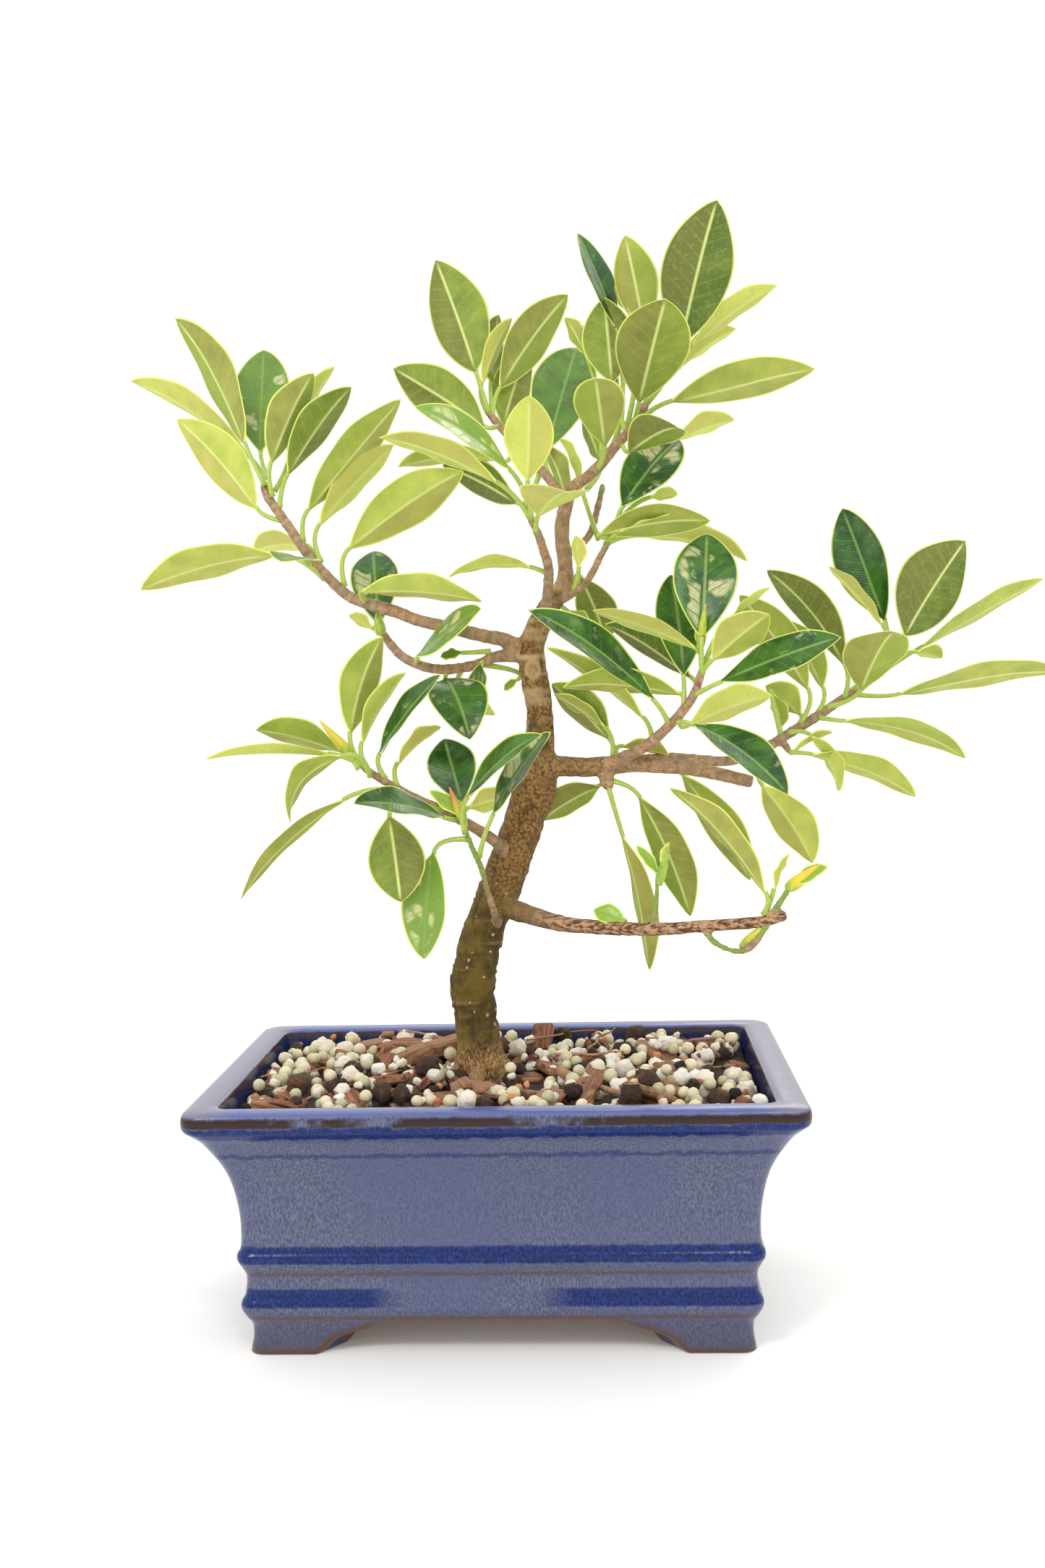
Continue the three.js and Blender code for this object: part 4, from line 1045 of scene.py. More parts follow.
# %% [markdown]
# ## The leaves
#
# A fig leaf is a stiff, leathery blade on a round stalk, with a pale midrib and margin and
# dozens of fine side veins. A flat card would be enough for a far leaf, but these are near and
# each is folded, curled and as thick as card. So each leaf is one thin loft, from the foot of
# the stalk to the tip, drawn in the same way as the limbs. A row holds where the stalk leaves
# the limb, where the blade starts, the tip, the width, which way the upper side faces, how far
# the midrib arches and how pale the leaf is, from 0 for an old dark one to 1 for a new one.
# Where the facing is one number, it is how far the upper side is turned to the viewpoint, from
# 1 for fully to -1 for fully away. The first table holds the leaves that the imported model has
# too.
# %% Bigger leaves
big_leaves = {
    "upper_left": [
        [[-78, -9.4, 285], [-87, -9, 289.5], [-115, -8, 321.5], 19, [0.3, 0.9, 0.3], 0.05, 0.8],
        [[-84, -11.4, 298], [-91, -13, 312.6], [-114, -4, 357.5], 20, [0.6, 0.72, 0.3], 0.03, 0.45],
        [[-82.6, -9, 300.5], [-85.3, -5, 309.7], [-83.7, 17, 345.4], 21.5, [0, -1, 0.3], 0.03, 0.6],
        [[-81, -11.5, 294], [-81.5, -15, 306], [-66.4, -22, 338], 16, [-0.6, 0.7, 0.3], 0.04, 0.5],
        [[-69.8, -10, 277.7], [-68.2, -12, 288.7], [-34.3, -18, 328], 19, [-0.6, 0.5, 0.6], 0.01, 0.65],
        [[-54.8, -9, 261.7], [-53, -10, 275], [-12, -16, 303], 20, [-0.3, 0.79, 0.5], 0.05, 0.75],
        [[-62.7, -10, 263.8], [-80.5, -14, 272.7], [-130, -16, 260], 19, [0.1, 0.5, 0.85], 0.06, 0.75],
        [[-84, -7.4, 296], [-90, 8, 308.5], [-131.7, 19, 336], 17, [0.75, 0.35, 0.6], 0.04, 0.85],
    ],
    "left": [
        [[-43, 3, 246], [-42.5, 6, 247.5], [-44.6, 28, 274.3], 18, [0, -1, 0.6], 0.05, 0.3],
        [[-47.7, -11, 256], [-48.5, -15, 259.3], [-5, -20, 256], 18, [0, 0.5, 0.85], 0.04, 0.75],
        [[-28.3, -1, 234], [-28, -8, 236], [-5.2, -28, 252.8], 18, [0, -0.8, 0.7], 0.03, 0.6],
        [[-18, -4, 229.5], [-18.3, -6, 227.5], [-9.4, -34, 205.8], 21, [0.1, -0.75, 0.7], 0.12, 0],
    ],
    "lower_left": [
        [[-50, -9, 197.5], [-53.3, -6, 208.2], [-42, 8, 243], 17, [-0.6, 0.75, 0.2], 0.08, 0.55],
        [[-50.6, -11.6, 195.2], [-57, -8.6, 201.6], [-88, -2, 209.5], 18, [0, 0.6, 0.8], 0.04, 0.6],
        [[-46.5, -12, 192.6], [-56.7, -18, 199.6], [-76.3, -28, 175.6], 17, [0.3, 0.5, 0.8], 0.2, 0.6],
        [[-36, -12, 187], [-55.9, -16, 183.7], [-95, -20, 147.5], 16, [-0.6, 0.33, 0.75], 0.06, 0.6],
        [[-15, -11.6, 176.4], [-19.5, -18, 177.4], [-51.9, -34, 182.7], 18, [0, -0.6, 0.8], 0.05, 0.1],
        [[-20, -11, 179.5], [-39, -16, 177.4], [-35, -18, 146], 21.3, [0, 1, 0.2], 0.04, 0.25],
    ],
    "front_twig": [
        [[-10.2, -13.5, 169], [-22.8, -16, 164], [-26.5, -20, 125], 17.5, [-0.3, -0.95, 0.2], 0.05, 0.7],
        [[-11.4, -12.6, 175], [-12.5, -6, 183], [-19, 10, 206], 18, [0, -1, 0.5], 0.06, 0],
        [[-11.2, -15.2, 171.8], [-10.2, -19, 184.8], [15.8, -26, 208.4], 15, [-0.6, -0.5, 0.6], 0.05, 0.4],
    ],
    "crown_left": [
        [[-2.6, 4, 323], [-7, 4, 337.3], [-21.5, 2, 377.2], 22, [0.2, 0.95, 0.1], 0.04, 0.3],
        [[1, 4, 318.5], [-3.9, 0, 318.1], [-37, -8, 339], 19, [0.2, 0.9, 0.3], 0.05, 0.3],
        [[-1, 4, 321], [1.6, 8, 332], [25.2, 14, 364.3], 18, [-0.5, 0.72, 0.3], 0.04, 0.4],
        [[20.5, 2, 299], [18.4, 8, 309.7], [28.9, 26, 345.2], 23.6, [0.1, -1, 0.5], 0.05, 0.5],
    ],
    "crown_front": [
        [[13, -9, 285.5], [11.6, -10, 299.2], [12.1, -6, 329.2], 18, [0, 0.95, 0.2], 0.05, 0.98],
        [[14.5, -9, 281], [15.5, -14, 286.6], [26.3, -46, 295], 24, [0, 0.2, 1], 0.06, 0.85],
    ],
    "crown_right": [
        [[54, -6, 326], [66, -8, 346.5], [78.3, -4, 397], 26, [-0.2, 0.95, 0.2], 0.03, 0.1],
        [[50, -6, 320], [51.5, -12, 326.8], [60.7, -34, 363.6], 26, [0, 0.9, 0.5], 0.02, 0.35],
        [[54, -4, 326], [53.3, 2, 351.7], [46, 8, 385.3], 16, [0.3, 0.9, 0], 0.04, 0.55],
        [[47, -5, 316], [41.8, 2, 333.4], [38.9, 8, 363.3], 19, [0, 0.95, 0.2], 0.04, 0.3],
        [[37, -4, 303.5], [39.2, -10, 311.3], [35.7, -36, 336.3], 18, [0, 0.85, 0.5], 0.02, 0.55],
        [[54, -6, 322], [63.3, -8, 326.8], [113.7, -12, 339], 20, [-0.1, 0.55, 0.8], -0.01, 0.6],
    ],
    "crown_side": [
        [[43.6, -8, 281], [45.7, -12, 289.5], [65.7, 14, 313.7], 20, [-0.2, -1, 0.5], 0.05, 0],
    ],
    "right_shoot": [
        [[62.5, -10, 211.3], [56.7, -16, 220.5], [12.6, -20, 253.3], 19, [0.3, -0.66, 0.7], 0.05, 0.2],
        [[74.6, -14, 230], [74.3, -16, 242.8], [76, 8, 280], 23.5, [0, -1, 0.5], 0.05, 0],
        [[68, -12, 218.7], [67.8, -8, 229.2], [63, 8, 265], 18, [0.2, -0.9, 0.4], 0.05, 0.35],
        [[72, -13, 222], [81.7, -18, 226.8], [123.9, -22, 242.8], 19, [-0.2, -0.7, 0.7], 0.02, 0.3],
        [[64.4, -10, 212], [72, -16, 211], [105.6, -24, 185.8], 19, [0.4, -0.7, 0.6], 0.08, 0],
    ],
    "right_knob": [
        [[41, -5, 188.2], [46.2, -2, 170.6], [55.4, 2, 121.5], 17, [0.8, 0.44, 0.2], 0.04, 0.6],
        [[43.1, -4, 190.3], [52.3, -1, 184.8], [70.7, 2, 141.2], 18, [0.5, 0.72, 0.4], 0.06, 0.4],
    ],
    "low_right": [
        [[97.4, -17, 143.3], [98, -20, 150.4], [63.8, -25, 189], 18, [0.6, 0.45, 0.6], 0.05, 0.6],
    ],
    "far_right": [
        [[126.6, 8.6, 222.6], [139.4, 16, 248.6], [124.2, 21, 288], 20, [-0.6, -0.7, 0.2], 0, 0.1],
        [[130.6, 7, 225], [146.5, 5, 242.8], [167.5, 2, 276.4], 26, [-0.2, 0.95, 0.2], 0.04, 0.15],
        [[130.6, 8.8, 223], [152.6, 17, 238.9], [195.1, 20, 262.5], 18, [-0.2, 0.5, 0.85], 0.01, 0.7],
        [[119.7, 5, 217.5], [131.3, 0, 223.9], [142.3, -36, 245.4], 23, [-0.1, 0.75, 0.7], 0.05, 0.55],
        [[130, 5.4, 221.8], [144.9, 1, 222], [201, -2, 231.3], 19, [0, 0.5, 0.85], 0.02, 0.65],
        [[117, 5, 213.5], [125.5, 0, 212.4], [169, -6, 200.3], 17, [0.1, 0.4, 0.9], 0.07, 0.7],
        [[106.5, 3, 201], [114.2, 0, 200.3], [151.5, -8, 185.8], 18, [0.2, 0.45, 0.85], 0.05, 0.75],
        [[125.3, 6, 221], [125.3, 0, 232.8], [97.2, -8, 266.2], 18, [0.5, 0.6, 0.5], 0.1, 0.2],
        [[93, 7, 200.5], [96.6, 2, 189], [115, 0, 161.4], 18, [0.5, 0.75, 0.3], 0.05, 0.8],
    ],
}
print(sum(len(rows) for rows in big_leaves.values()), "bigger leaves")

# %% Smaller and hidden leaves
small_leaves = {
    "upper_left": [
        [[-80, -9, 296], [-75.3, -6, 306], [-59.5, -2, 340], 14, [-0.9, 0.28, 0.3], 0.04, 0.95],
        [[-78.4, -10, 290], [-75.3, -11, 302], [-52.5, -16, 333], 17, [-0.6, 0.55, 0.5], 0.04, 0.3],
        [[-63.5, -10, 270.4], [-64, -8, 283.5], [-36.4, -2, 311.6], 16, [-0.6, 0.5, 0.6], 0.04, 0.98],
        [[-62.7, -10, 264], [-68.7, -14, 270.4], [-78, -44, 271], 18, [0.2, 0.1, 1], 0.04, 0.6],
        [[-65.6, -4, 272], [-69, 0, 276], [-88, 24, 274], 14, -0.6, 0.05, 1],
    ],
    "left": [
        [[-2.6, -4, 237.5], [-12.3, -5, 237], [-20.2, -6, 235.7], 5, 0.8, 0.05, 0.6],
        [[-3, -4, 234], [-5.5, -6, 233], [-6, -8, 221], 8, 0.9, 0.1, 0.4],
        [[-12, 0, 231], [-12, 6, 219], [-0.2, 6, 214.7], 6, -0.8, 0.05, 0.9],
        [[-3, -2, 232.3], [7.9, 4, 227.3], [2.9, 4, 223.4], 4, 0.8, 0.05, 0.8],
        [[-42.5, 2, 245.5], [-45, 1, 246], [-53.5, 0, 250.6], 6, -0.8, 0.05, 0.9],
    ],
    "crown_front": [
        [[18.4, -4, 265.6], [12.1, -5, 268], [-17, -9, 264.3], 15, -0.25, 0.09, 0.85],
        [[12.6, -8, 286], [4.8, -12, 303.2], [-28.6, -18, 326.3], 18, [0.5, -0.55, 0.6], 0.05, 0.75],
        [[12, -9, 286], [0, -12, 298.7], [-42, -16, 315.5], 15, -0.5, 0.05, 0.8],
    ],
    "crown_left": [
        [[-2.6, 4, 323], [-5, 5, 333.4], [5.3, 8, 356.5], 10, -0.5, 0.03, 1],
        [[-1, 6, 322], [-1.8, 12, 333.4], [0.8, 16, 357.5], 12, -0.75, 0.03, 0.3],
        [[3, 6, 316], [2.7, 12, 318.4], [11.6, 20, 345.2], 16, -0.9, 0.05, 0.35],
        [[6, 4, 312], [3.4, 6, 305.8], [-35.1, 10, 304.5], 14, -0.42, 0.06, 0.75],
        [[16, 4, 303], [7.7, 8, 290.8], [-18.9, 14, 304.5], 15, -0.8, 0.04, 0.05],
        [[25, 4, 288], [25.8, 8, 291.4], [18.7, 14, 310.5], 12, -0.65, 0.04, 0.5],
        [[33, 6, 296], [37.6, 10, 305.8], [31, 14, 320.8], 12, -0.65, 0.05, 0.4],
        [[37, 6, 278], [31.3, 8, 294.8], [23.7, 10, 313.7], 12, -0.25, 0.03, 0.9],
    ],
    "crown_right": [
        [[42.8, -2, 312], [42.8, 8, 353], [28.9, 14, 385.9], 16, 0.6, 0.03, 0.1],
        [[46, 0, 314], [48.1, 6, 358.3], [43.4, 10, 370.1], 9, -0.7, 0.03, 0.9],
        [[40, -2, 308], [44.1, 6, 330.7], [30.2, 12, 353.8], 13, -0.5, 0.04, 0.5],
        [[38, -2, 305], [32.3, 10, 343.9], [25.2, 14, 356.5], 9, -0.65, 0.04, 0.6],
        [[52, -4, 322], [70.4, 4, 346.5], [99.8, 12, 367.5], 14, -0.45, 0.04, 1],
        [[50, -2, 320], [66.5, 8, 339.4], [85.4, 16, 352.3], 12, -0.45, 0.04, 1],
        [[45, -4, 313], [48.1, -8, 309], [66, -34, 318.5], 18, [0, 0.7, 0.7], 0.05, 0.3],
        [[50, -2, 318], [65.1, 6, 313.2], [85.4, 12, 320], 14, -0.42, 0.04, 0.95],
    ],
    "crown_side": [
        [[41, -7, 278], [37.6, -10, 279.6], [77.2, -16, 284.8], 19, -0.55, 0.05, 0.55],
        [[40, -6, 276], [50.7, 2, 279], [90.6, 10, 270.6], 16, -0.42, 0.08, 0.9],
        [[42, -8, 280], [44.9, -10, 280.9], [64.6, -14, 287.4], 10, 0.4, 0.03, 0.9],
        [[42, -7, 280], [55.9, 4, 292.7], [65.4, 8, 293.7], 7, -0.6, 0.05, 1],
        [[28, -2, 259], [30, -4, 268], [28.9, -4, 279.3], 7, -0.8, 0.05, 0.95],
        [[26, 2, 258], [31, 10, 263.8], [40.2, 16, 240.7], 17, -0.85, 0.05, 0.3],
        [[22, 1, 255], [26, 6, 252], [33, 10, 245], 9, -0.8, 0.05, 0.6],
    ],
    "right_shoot": [
        [[56.5, -8, 204.5], [53.3, -6, 213.9], [18.4, -4, 238.9], 15, -0.4, 0.04, 0.7],
        [[68.6, -12, 217.5], [66.5, -10, 222.3], [24.5, -14, 225.7], 17, -0.55, 0.05, 0.6],
        [[74.4, -13, 230], [71.7, -14, 238.9], [35, -18, 252], 16, -0.36, 0.04, 0.9],
        [[72, -12, 224], [70.4, -4, 228.4], [40.2, 2, 248], 15, -0.6, 0.04, 0.05],
        [[44, -4, 198], [41, 2, 206.1], [20, 6, 225.7], 18, -0.7, 0.04, 0.35],
        [[42, -3, 198], [39.2, 0, 210.5], [21, 4, 222.1], 10, -0.5, 0.04, 0.6],
        [[43, -4, 198], [46, 2, 203.4], [62.5, 8, 200], 12, -0.45, 0.04, 0.7],
        [[75, -14, 231], [78.3, -18, 234.7], [98.2, -24, 250.9], 18, -0.85, 0.04, 0.75],
        [[75, -14, 231], [85.4, -16, 250.2], [98.5, -18, 260.7], 8, -0.4, 0.02, 1],
        [[67, -11, 214], [70, 0, 211], [99.3, 10, 221.8], 18, -0.65, 0.05, 0.95],
        [[74.5, -14, 230], [74, -13, 238], [73, -6, 256], 9, -0.5, 0.02, 1],
    ],
    "right_knob": [
        [[40, -3, 190], [37.6, 4, 189], [16.1, 12, 175.9], 16, -0.75, 0.05, 0.4],
    ],
    "low_right": [
        [[45, -10, 138.5], [47, -9, 139.9], [35.7, -8, 143.6], 8, 0.9, 0.05, 0.95],
        [[59, -13, 155.5], [59.1, -13, 156.7], [51, -12, 167.2], 5, 0.8, 0.05, 0.9],
        [[59.2, -13, 157], [60.6, -14, 160], [62.5, -15, 168.5], 4, -0.8, 0.03, 0.9],
        [[107, -20, 152.5], [108, -20, 153.6], [120.3, -23, 160.1], 7, 0.7, 0.05, 0.9],
        [[97, -17, 140], [101, -18, 152], [106.4, -19, 164.8], 6, -0.6, 0.05, 0.8],
    ],
    "lower_left": [
        [[-48.5, -10, 198], [-49, -8, 204.7], [-32.8, -2, 230], 15, -0.3, 0.05, 0.8],
        [[-40.6, -10, 192], [-42.5, -12, 200.5], [-19.7, -16, 229], 17, [-0.7, -0.46, 0.5], 0.04, 0.1],
        [[-36, -10, 189], [-36, -8, 197], [-20, 0, 210], 14, -0.3, 0.05, 0.8],
        [[-48.3, -10, 195.5], [-61.6, -12, 200.5], [-106.8, -14, 199.2], 15, [0, 0.3, 0.95], 0.03, 0.95],
    ],
    "front_twig": [
        [[-11.6, -14, 173], [-12.3, -14, 178], [-24.4, -15, 186.9], 6, 0.8, 0.05, 0.95],
        [[-6, -14, 163.3], [-0.8, -18, 178.7], [19.7, -17, 208.5], 18, 0.5, 0.04, 0.15],
        [[-11, -13.5, 172], [-9.7, -10, 181], [4.5, -6, 184.8], 12, -0.8, 0.05, 0.95],
    ],
    "far_right": [
        [[105.8, 6, 207.9], [114, 2, 206.8], [124.2, -4, 187.2], 14, -0.33, 0.08, 0.9],
        [[109.8, 6, 212], [112.4, 2, 224], [87.7, -2, 257.5], 19, -0.68, 0.05, 0.55],
        [[116.3, 7, 216], [117.9, 6, 224.2], [103.7, 6, 248.6], 16, -0.5, 0.05, 0.6],
        [[109, 7, 211], [109.8, 8, 214.7], [97.2, 12, 225], 13, -0.7, 0.05, 0.65],
        [[129, 7, 223], [151, 10, 237], [160, 12, 235], 9, -0.6, 0.05, 1],
        [[128, 8, 222.5], [138.4, 14, 247], [119.5, 20, 267.5], 12, -0.25, 0.03, 1],
        [[105.5, 5, 203], [107, 3, 201.3], [121.3, 6, 208.2], 8, -0.46, 0.05, 0.9],
        [[103, 7, 207], [100, 10, 222], [103, 12, 210], 9, -0.6, 0.05, 0.6],
        [[66, 5, 198], [67.8, 8, 192.9], [92, 10, 154], 18, -0.75, 0.05, 0.6],
    ],
}
print(sum(len(rows) for rows in small_leaves.values()), "smaller leaves")

# %% [markdown]
# ### One leaf
#
# A ring has an upper and a lower half. On the stalk it is a circle. On the blade the upper half
# runs from the left margin to the right one and the lower half runs back, 0.42 millimetres
# below. The half-width at a share t of the blade is w/2 · sin(pi t^1.08)^0.72, which is widest
# just past the middle. Each half of the blade rises from the midrib, the margin curls and waves
# a little, and the tip bends. How much is drawn at random for each leaf.
# %% Which way a leaf faces
stalk_steps = 9
blade_steps = 30
leaf_around = 32
stalk_radius = 0.8
stalk_sunk = 0.6  # how far its foot reaches into the limb
blade_thickness = 0.42
leaf_random = np.random.default_rng(12)


def facing(base, tip, face):
    """The direction of the upper side, square to the leaf: the given one, or a share of the
    direction to the viewpoint and the rest across the leaf on the drawing plane."""
    along = unit(tip - base)
    if np.isscalar(face):
        to_viewer = np.array([0.0, -1.0, 0.0])
        across = np.array([-along[2], 0, along[0]])
        across = unit(across * (1 if across[2] > 0 else -1))
        face = face * to_viewer + math.sqrt(1 - face**2) * across
    up = turned(np.array(face, dtype=float))
    return along, unit(up - along * (up @ along))


print("a leaf straight up, half turned:", facing(np.zeros(3), np.array([0, 0, 1.0]), 0.5)[1].round(2))

# %% Stalk of a leaf
leaf_angle = np.linspace(0, 2 * np.pi, leaf_around, endpoint=False)
flat, tall = -np.cos(leaf_angle), np.sin(leaf_angle)  # across the leaf, and up from it
across_share = np.sign(flat) * np.abs(flat) ** 1.35  # closer together near the midrib


def stalk_of_leaf(foot, base, along, up, side, arch):
    """Circles along (1 - s)² foot + 2 s (1 - s) bend + s² base, thicker at the foot."""
    length = np.linalg.norm(base - foot)
    foot = foot + unit(foot - base) * stalk_sunk
    bend = base - along * 0.45 * length - up * 1.6 * arch * length
    s = np.linspace(0, 0.97, stalk_steps)[:, None]
    middle = (1 - s) ** 2 * foot + 2 * s * (1 - s) * bend + s**2 * base
    travel = unit(np.gradient(middle, axis=0))
    across = unit(side - (travel @ side)[:, None] * travel)
    above = np.cross(across, travel)
    radius = stalk_radius * (1 + 0.35 * (1 - s) ** 3)
    circles = across[:, None] * flat[:, None] + above[:, None] * tall[:, None]
    return middle[:, None] + radius[:, None] * circles


print("a stalk has", stalk_steps, "rings")

# %% Blade of a leaf
def blade_of_leaf(base, tip, up, side, width, arch):
    """The rings of the blade, the shares of its length, and the half-width at each."""
    length = np.linalg.norm(tip - base)
    fold, curl, wave, nod = leaf_random.uniform((0.14, -0.12, 0.12, -0.05), (0.3, 0.1, 0.45, 0.03))
    phase = leaf_random.uniform(0, 2 * np.pi, 2)
    t = (np.linspace(0.008, 1, blade_steps) ** 1.05)[:, None]
    half = width / 2 * np.sin(np.pi * np.minimum(t, 0.9995) ** 1.08) ** 0.72
    half = np.hypot(half, stalk_radius * np.clip(1 - t * 6, 0, 1)) + 0.05
    reach = np.abs(across_share) * half
    opening = 1 - np.exp(-t / 0.05)
    thick = blade_thickness + (2 * stalk_radius - blade_thickness) * (1 - opening)
    rib = 0.75 * (1 - 0.75 * t) * np.exp(-((reach / 0.9) ** 2)) * opening
    swell = np.where(tall < 0, tall * rib, -0.18 * tall * rib)
    ripple = np.sin(2 * np.pi * 2.3 * t + np.where(across_share > 0, phase[0], phase[1]))
    lift = fold * opening * (np.hypot(reach, 0.7) - 0.7)
    lift += curl * half * across_share**4 + wave * across_share**2 * ripple * opening
    lift += (arch * 4 * t * (1 - t) + nod * np.clip(t - 0.6, 0, 1) ** 2 * 4) * length
    lift += tall * thick / 2 * np.clip(half / 1.2, 0, 1) + swell
    middle = base + (tip - base) * t
    rings = middle[:, None] + side * (across_share * half)[..., None] + up * lift[..., None]
    return rings, t, half


print("a blade has", blade_steps, "rings")

# %% Whole leaf with its marks
def leaf_shape(limb, row):
    """The points, faces and marks of one leaf, its stalk's rings first."""
    foot, base, tip, width, face, arch, tone = row
    foot_at, base_at, tip_at = placed(limb, [foot, base, tip])
    along, up = facing(base_at, tip_at, face)
    side = np.cross(along, up)
    stalk = stalk_of_leaf(foot_at, base_at, along, up, side, arch)
    width = width * stretch_at(limb, base)
    blade, t, half = blade_of_leaf(base_at, tip_at, up, side, width, arch)
    points, faces = loft(np.vstack([stalk, blade]))
    length = np.linalg.norm(tip_at - base_at)
    reach = np.abs(across_share) * half
    blank = np.zeros((stalk_steps, leaf_around))
    run = np.vstack([blank, t * length + 0 * reach])
    on_blade = np.arange(len(run))[:, None] >= stalk_steps
    marks = {
        "run": run,
        "reach": np.vstack([blank, across_share * half]),
        "rim": np.vstack([blank + 9, half - reach]),
        "under": np.where(np.broadcast_to(tall < -0.02, run.shape), 1.0, 0.0),
        "blade": np.where(on_blade, 1.0, 0.0) + 0 * run,
        "tone": np.full(run.shape, tone),
        "chance": np.full(run.shape, leaf_random.uniform()),
    }
    ends = {"run": length, "under": 0.0, "blade": 1.0, "tone": tone}
    marks = {
        key: np.append(values.ravel(), [values[0, 0], ends.get(key, values[-1, 0])])
        for key, values in marks.items()
    }
    return points, faces, marks


print("a leaf has", stalk_steps + blade_steps, "rings of", leaf_around, "points")

# %% [markdown]
# ### Leaf colours
#
# From above a grown leaf is a deep waxy green with a film of dried splashes, and on some leaves
# pale gold patches are a painted reflection. From below it is matt, and anything from olive to a
# pale yellow-green, and on many leaves one half of the fold is painted a greyer olive, as painted
# light for the way the two halves face. On both sides the midrib is a pale line, the margin is a
# thin bright one, and the side veins run out at a slant and thin towards the margin. The slant is
# a distance along the leaf less a share of the distance from the midrib.
# Both distances are marks on the mesh, so the veins follow a leaf however it is bent, which a
# pattern in space would not. Light also comes through a leaf. Translucency would show that, but
# it is not used here, so the leaf gets a little of its own colour as emission.
# %% Leaf finish
def leaf_finish():
    """Both sides of a leaf and its stalk, chosen by the marks under and blade."""
    leaf = Finish("fig_leaf")
    run, reach = leaf.attribute("run"), abs(leaf.attribute("reach"))
    rim, under = leaf.attribute("rim"), leaf.attribute("under").ramp(0.3, 0.7)
    blade, tone = leaf.attribute("blade"), leaf.attribute("tone")
    chance = leaf.attribute("chance")
    cloud = leaf.noise(9.0, 3.0)
    grain = leaf.noise(1.3, 4.0)
    slant = run - reach * 0.62 + (leaf.noise(7.0, 2.0) - 0.5) * 1.6
    wave = (slant * (2 * math.pi / 1.15)).sine() * 0.5 + 0.5
    strong = (slant * (2 * math.pi / 4.6)).sine() * 0.5 + 0.5
    veins = (wave.ramp(0.5, 1.0) * 0.4 + strong.ramp(0.85, 1.0) * 0.6) * rim.ramp(0.3, 2.5)
    rib = (1 - reach.ramp(0.2, 0.8)) * rim.ramp(0.6, 6.0)
    margin = 1 - rim.ramp(0.15, 0.8)
    tilt = leaf.attribute("reach").ramp(-1.0, 1.0)
    pale = tone + (cloud - 0.5) * 0.5
    below = leaf.mix(colour("4c6318"), colour("8b9b35"), pale.ramp(0.0, 0.5))
    below = leaf.mix(below, colour("c8cf60"), pale.ramp(0.45, 1.05))
    # Painted light: on one half of the fold, chosen per leaf, the underside turns greyer olive, for the
    # way that half faces the light.
    olive = leaf.mix(colour("666a28"), colour("bdb95c"), pale.ramp(0.1, 1.0))
    painted_light_half = (tilt - 0.5) * (chance.ramp(0.4, 0.6) * 2 - 1) + 0.5
    below = leaf.mix(below, olive, painted_light_half * 0.85)
    below = leaf.mix(below, colour("bccb78"), veins * 0.13)
    below = leaf.mix(below, colour("a3a964"), (grain - 0.5).ramp(0.0, 0.2) * 0.22)
    above = leaf.mix(colour("1c4418"), colour("3c6a20"), cloud.ramp(0.35, 0.65))
    above = leaf.mix(above, colour("93b53f"), tone.ramp(0.25, 1.0) * 0.85)
    above = leaf.mix(above, colour("789a4c"), veins * 0.18)
    # Painted reflection: pale gold patches on the upper side of some leaves stand for the lamps' glare.
    painted_reflection = leaf.noise(13.0, 2.0).ramp(0.54, 0.6) * chance.ramp(0.3, 0.6)
    painted_reflection = painted_reflection * (1.1 - veins) * reach.ramp(0.8, 2.0) * rim.ramp(0.5, 3.0)
    above = leaf.mix(above, colour("ddd6a0"), painted_reflection * (0.3 + grain * 0.6))
    splash = leaf.noise(3.4, 5.0, rough=0.7).ramp(0.56, 0.66) * leaf.noise(11.0).ramp(0.45, 0.6)
    above = leaf.mix(above, colour("cfd3a6"), splash * 0.4)
    tint = leaf.mix(above, below, under)
    tint = leaf.mix(tint, leaf.mix(colour("7f9c4c"), colour("cfd883"), under), rib * 0.85)
    tint = leaf.mix(tint, colour("e6ee74"), margin * 0.85)
    stalk = leaf.mix(colour("8fa843"), colour("b9c963"), grain)
    tint = leaf.mix(stalk, tint, blade.ramp(0.2, 0.8))
    relief = veins * 0.35 + grain * 0.35 + rib * (under * 1.4 - 0.6)
    gloss = 0.22 + under * 0.4 + grain * 0.12 + splash * 0.2
    return leaf.surface(
        Base_Color=tint, Roughness=gloss, Normal=leaf.bump(relief, 0.22, 0.7),
        Emission_Color=tint, Emission_Strength=0.13, Specular_IOR_Level=0.45,
    )


leaf_material = leaf_finish()
print("leaf finish of", len(leaf_material.node_tree.nodes), "nodes")

# %% All the leaves
def leaf_name(limb, number):
    """The name of a packed leaf: its limb, and its number along it."""
    return f"leaf_{limb}_{number}"


def grow_leaves():
    """Grows each row of both tables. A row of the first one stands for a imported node."""
    count = 0
    for limb, rows in big_leaves.items():
        for number, row in enumerate(rows + small_leaves.get(limb, []), 1):
            points, faces, marks = leaf_shape(limb, row)
            piece = new_object("fig_" + leaf_name(limb, number), points, faces, marks)
            nodes = [leaf_name(limb, number)] if number <= len(rows) else []
            finished(piece, leaf_material, nodes)
            count += 1
    return count


print(grow_leaves(), "leaves grown")

